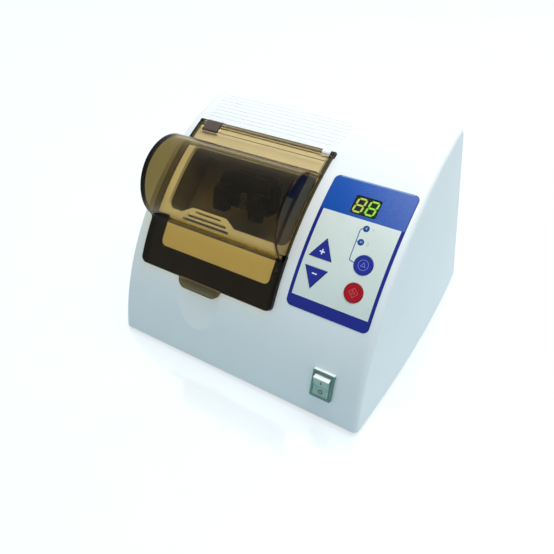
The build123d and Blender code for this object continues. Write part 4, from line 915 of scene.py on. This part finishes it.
# ---------------------------------------------------------------- lamp, background and floor
LAMP_AT, LAMP_AIM = Vector((0.26, 0.33, 1.54)), Vector((0, 0, 0.06))
LAMP_SIZE, LAMP_POWER, LAMP_COLOUR = 0.95, 21.0, (1.0, 0.975, 0.955)
AMBIENT_COLOUR, AMBIENT_STRENGTH = (0.73, 0.92, 1.0), 0.455
lamp_data = bpy.data.lights.new("overhead", "AREA")
lamp_data.shape = "RECTANGLE"
lamp_data.size = lamp_data.size_y = LAMP_SIZE
lamp_data.energy = LAMP_POWER
lamp_data.color = LAMP_COLOUR
lamp = add_object("overhead", lamp_data)
lamp.location = LAMP_AT
lamp.rotation_mode = "QUATERNION"
lamp.rotation_quaternion = (LAMP_AIM - LAMP_AT).to_track_quat("-Z", "Y")


def background_rays(tree):
    """One for the rays that show the white background, nought for those that light the object."""
    path = add_node(tree, "LightPath")
    total = path.outputs["Is Camera Ray"]
    for kind in ("Is Glossy Ray", "Is Transmission Ray"):
        total = calc(tree, "MAXIMUM", total, path.outputs[kind])
    return total


world = bpy.data.worlds.new("studio")
world.use_nodes = True
bpy.context.scene.world = world
sky = world.node_tree
sky.nodes.clear()
ambient = add_node(sky, "Background", {"Color": AMBIENT_COLOUR, "Strength": AMBIENT_STRENGTH})
backdrop = add_node(sky, "Background", {"Color": WHITE, "Strength": 1.0})
light = (ambient.outputs["Background"], backdrop.outputs["Background"])
world_out = add_node(sky, "OutputWorld")
feed(sky, world_out.inputs["Surface"], mix_shaders(sky, background_rays(sky), *light))

FLOOR_REACH = 3.0
FLOOR_SHARE, FLOOR_WHITE = 0.5, 1.5  # how far the floor fades into the background's white
FLOOR_DARK, FLOOR_PALE, FLOOR_PATCHES = (0.43, 0.60, 0.68), (0.46, 0.63, 0.71), 9.0
FLOOR_SPECULAR, FLOOR_ROUGHNESS = 0.3, 0.5
POLISH, POLISH_PATCHES, POLISH_ROUGHNESS = 0.15, 14.0, (0.10, 0.14)


def pale_floor(name):
    """A pale floor that takes the shadow, with a polished coat for a faint mirror image."""
    tree, out = new_material(name)
    vector = object_coords(tree)
    patches = ramp(tree, noise(tree, vector, FLOOR_PATCHES), *NOISE_SPREAD, 0, 1)
    body = add_node(
        tree,
        "BsdfPrincipled",
        {
            "Base Color": blend_colours(tree, patches, FLOOR_DARK, FLOOR_PALE),
            "Roughness": FLOOR_ROUGHNESS,
            "Specular IOR Level": FLOOR_SPECULAR,
        },
    )
    lift = add_node(tree, "Emission", {"Color": WHITE, "Strength": FLOOR_WHITE})
    share = calc(tree, "MULTIPLY", background_rays(tree), FLOOR_SHARE)
    pale = mix_shaders(tree, share, body.outputs["BSDF"], lift.outputs["Emission"])
    smears = noise(tree, vector, POLISH_PATCHES)
    gloss = ramp(tree, smears, *NOISE_SPREAD, *POLISH_ROUGHNESS)
    polish = add_node(tree, "BsdfGlossy", {"Color": WHITE, "Roughness": gloss})
    coated = mix_shaders(tree, POLISH, pale, polish.outputs["BSDF"])
    feed(tree, out.inputs["Surface"], coated)


pale_floor("floor_white")
floor_mesh = bpy.data.meshes.new("floor")
square = ((-1, -1), (1, -1), (1, 1), (-1, 1))
corners = [(x * FLOOR_REACH, y * FLOOR_REACH, 0) for x, y in square]
floor_mesh.from_pydata(corners, [], [(0, 1, 2, 3)])
floor_mesh.materials.append(finish["floor_white"])
floor = add_object("floor", floor_mesh)

bpy.context.scene.view_settings.view_transform = "Standard"
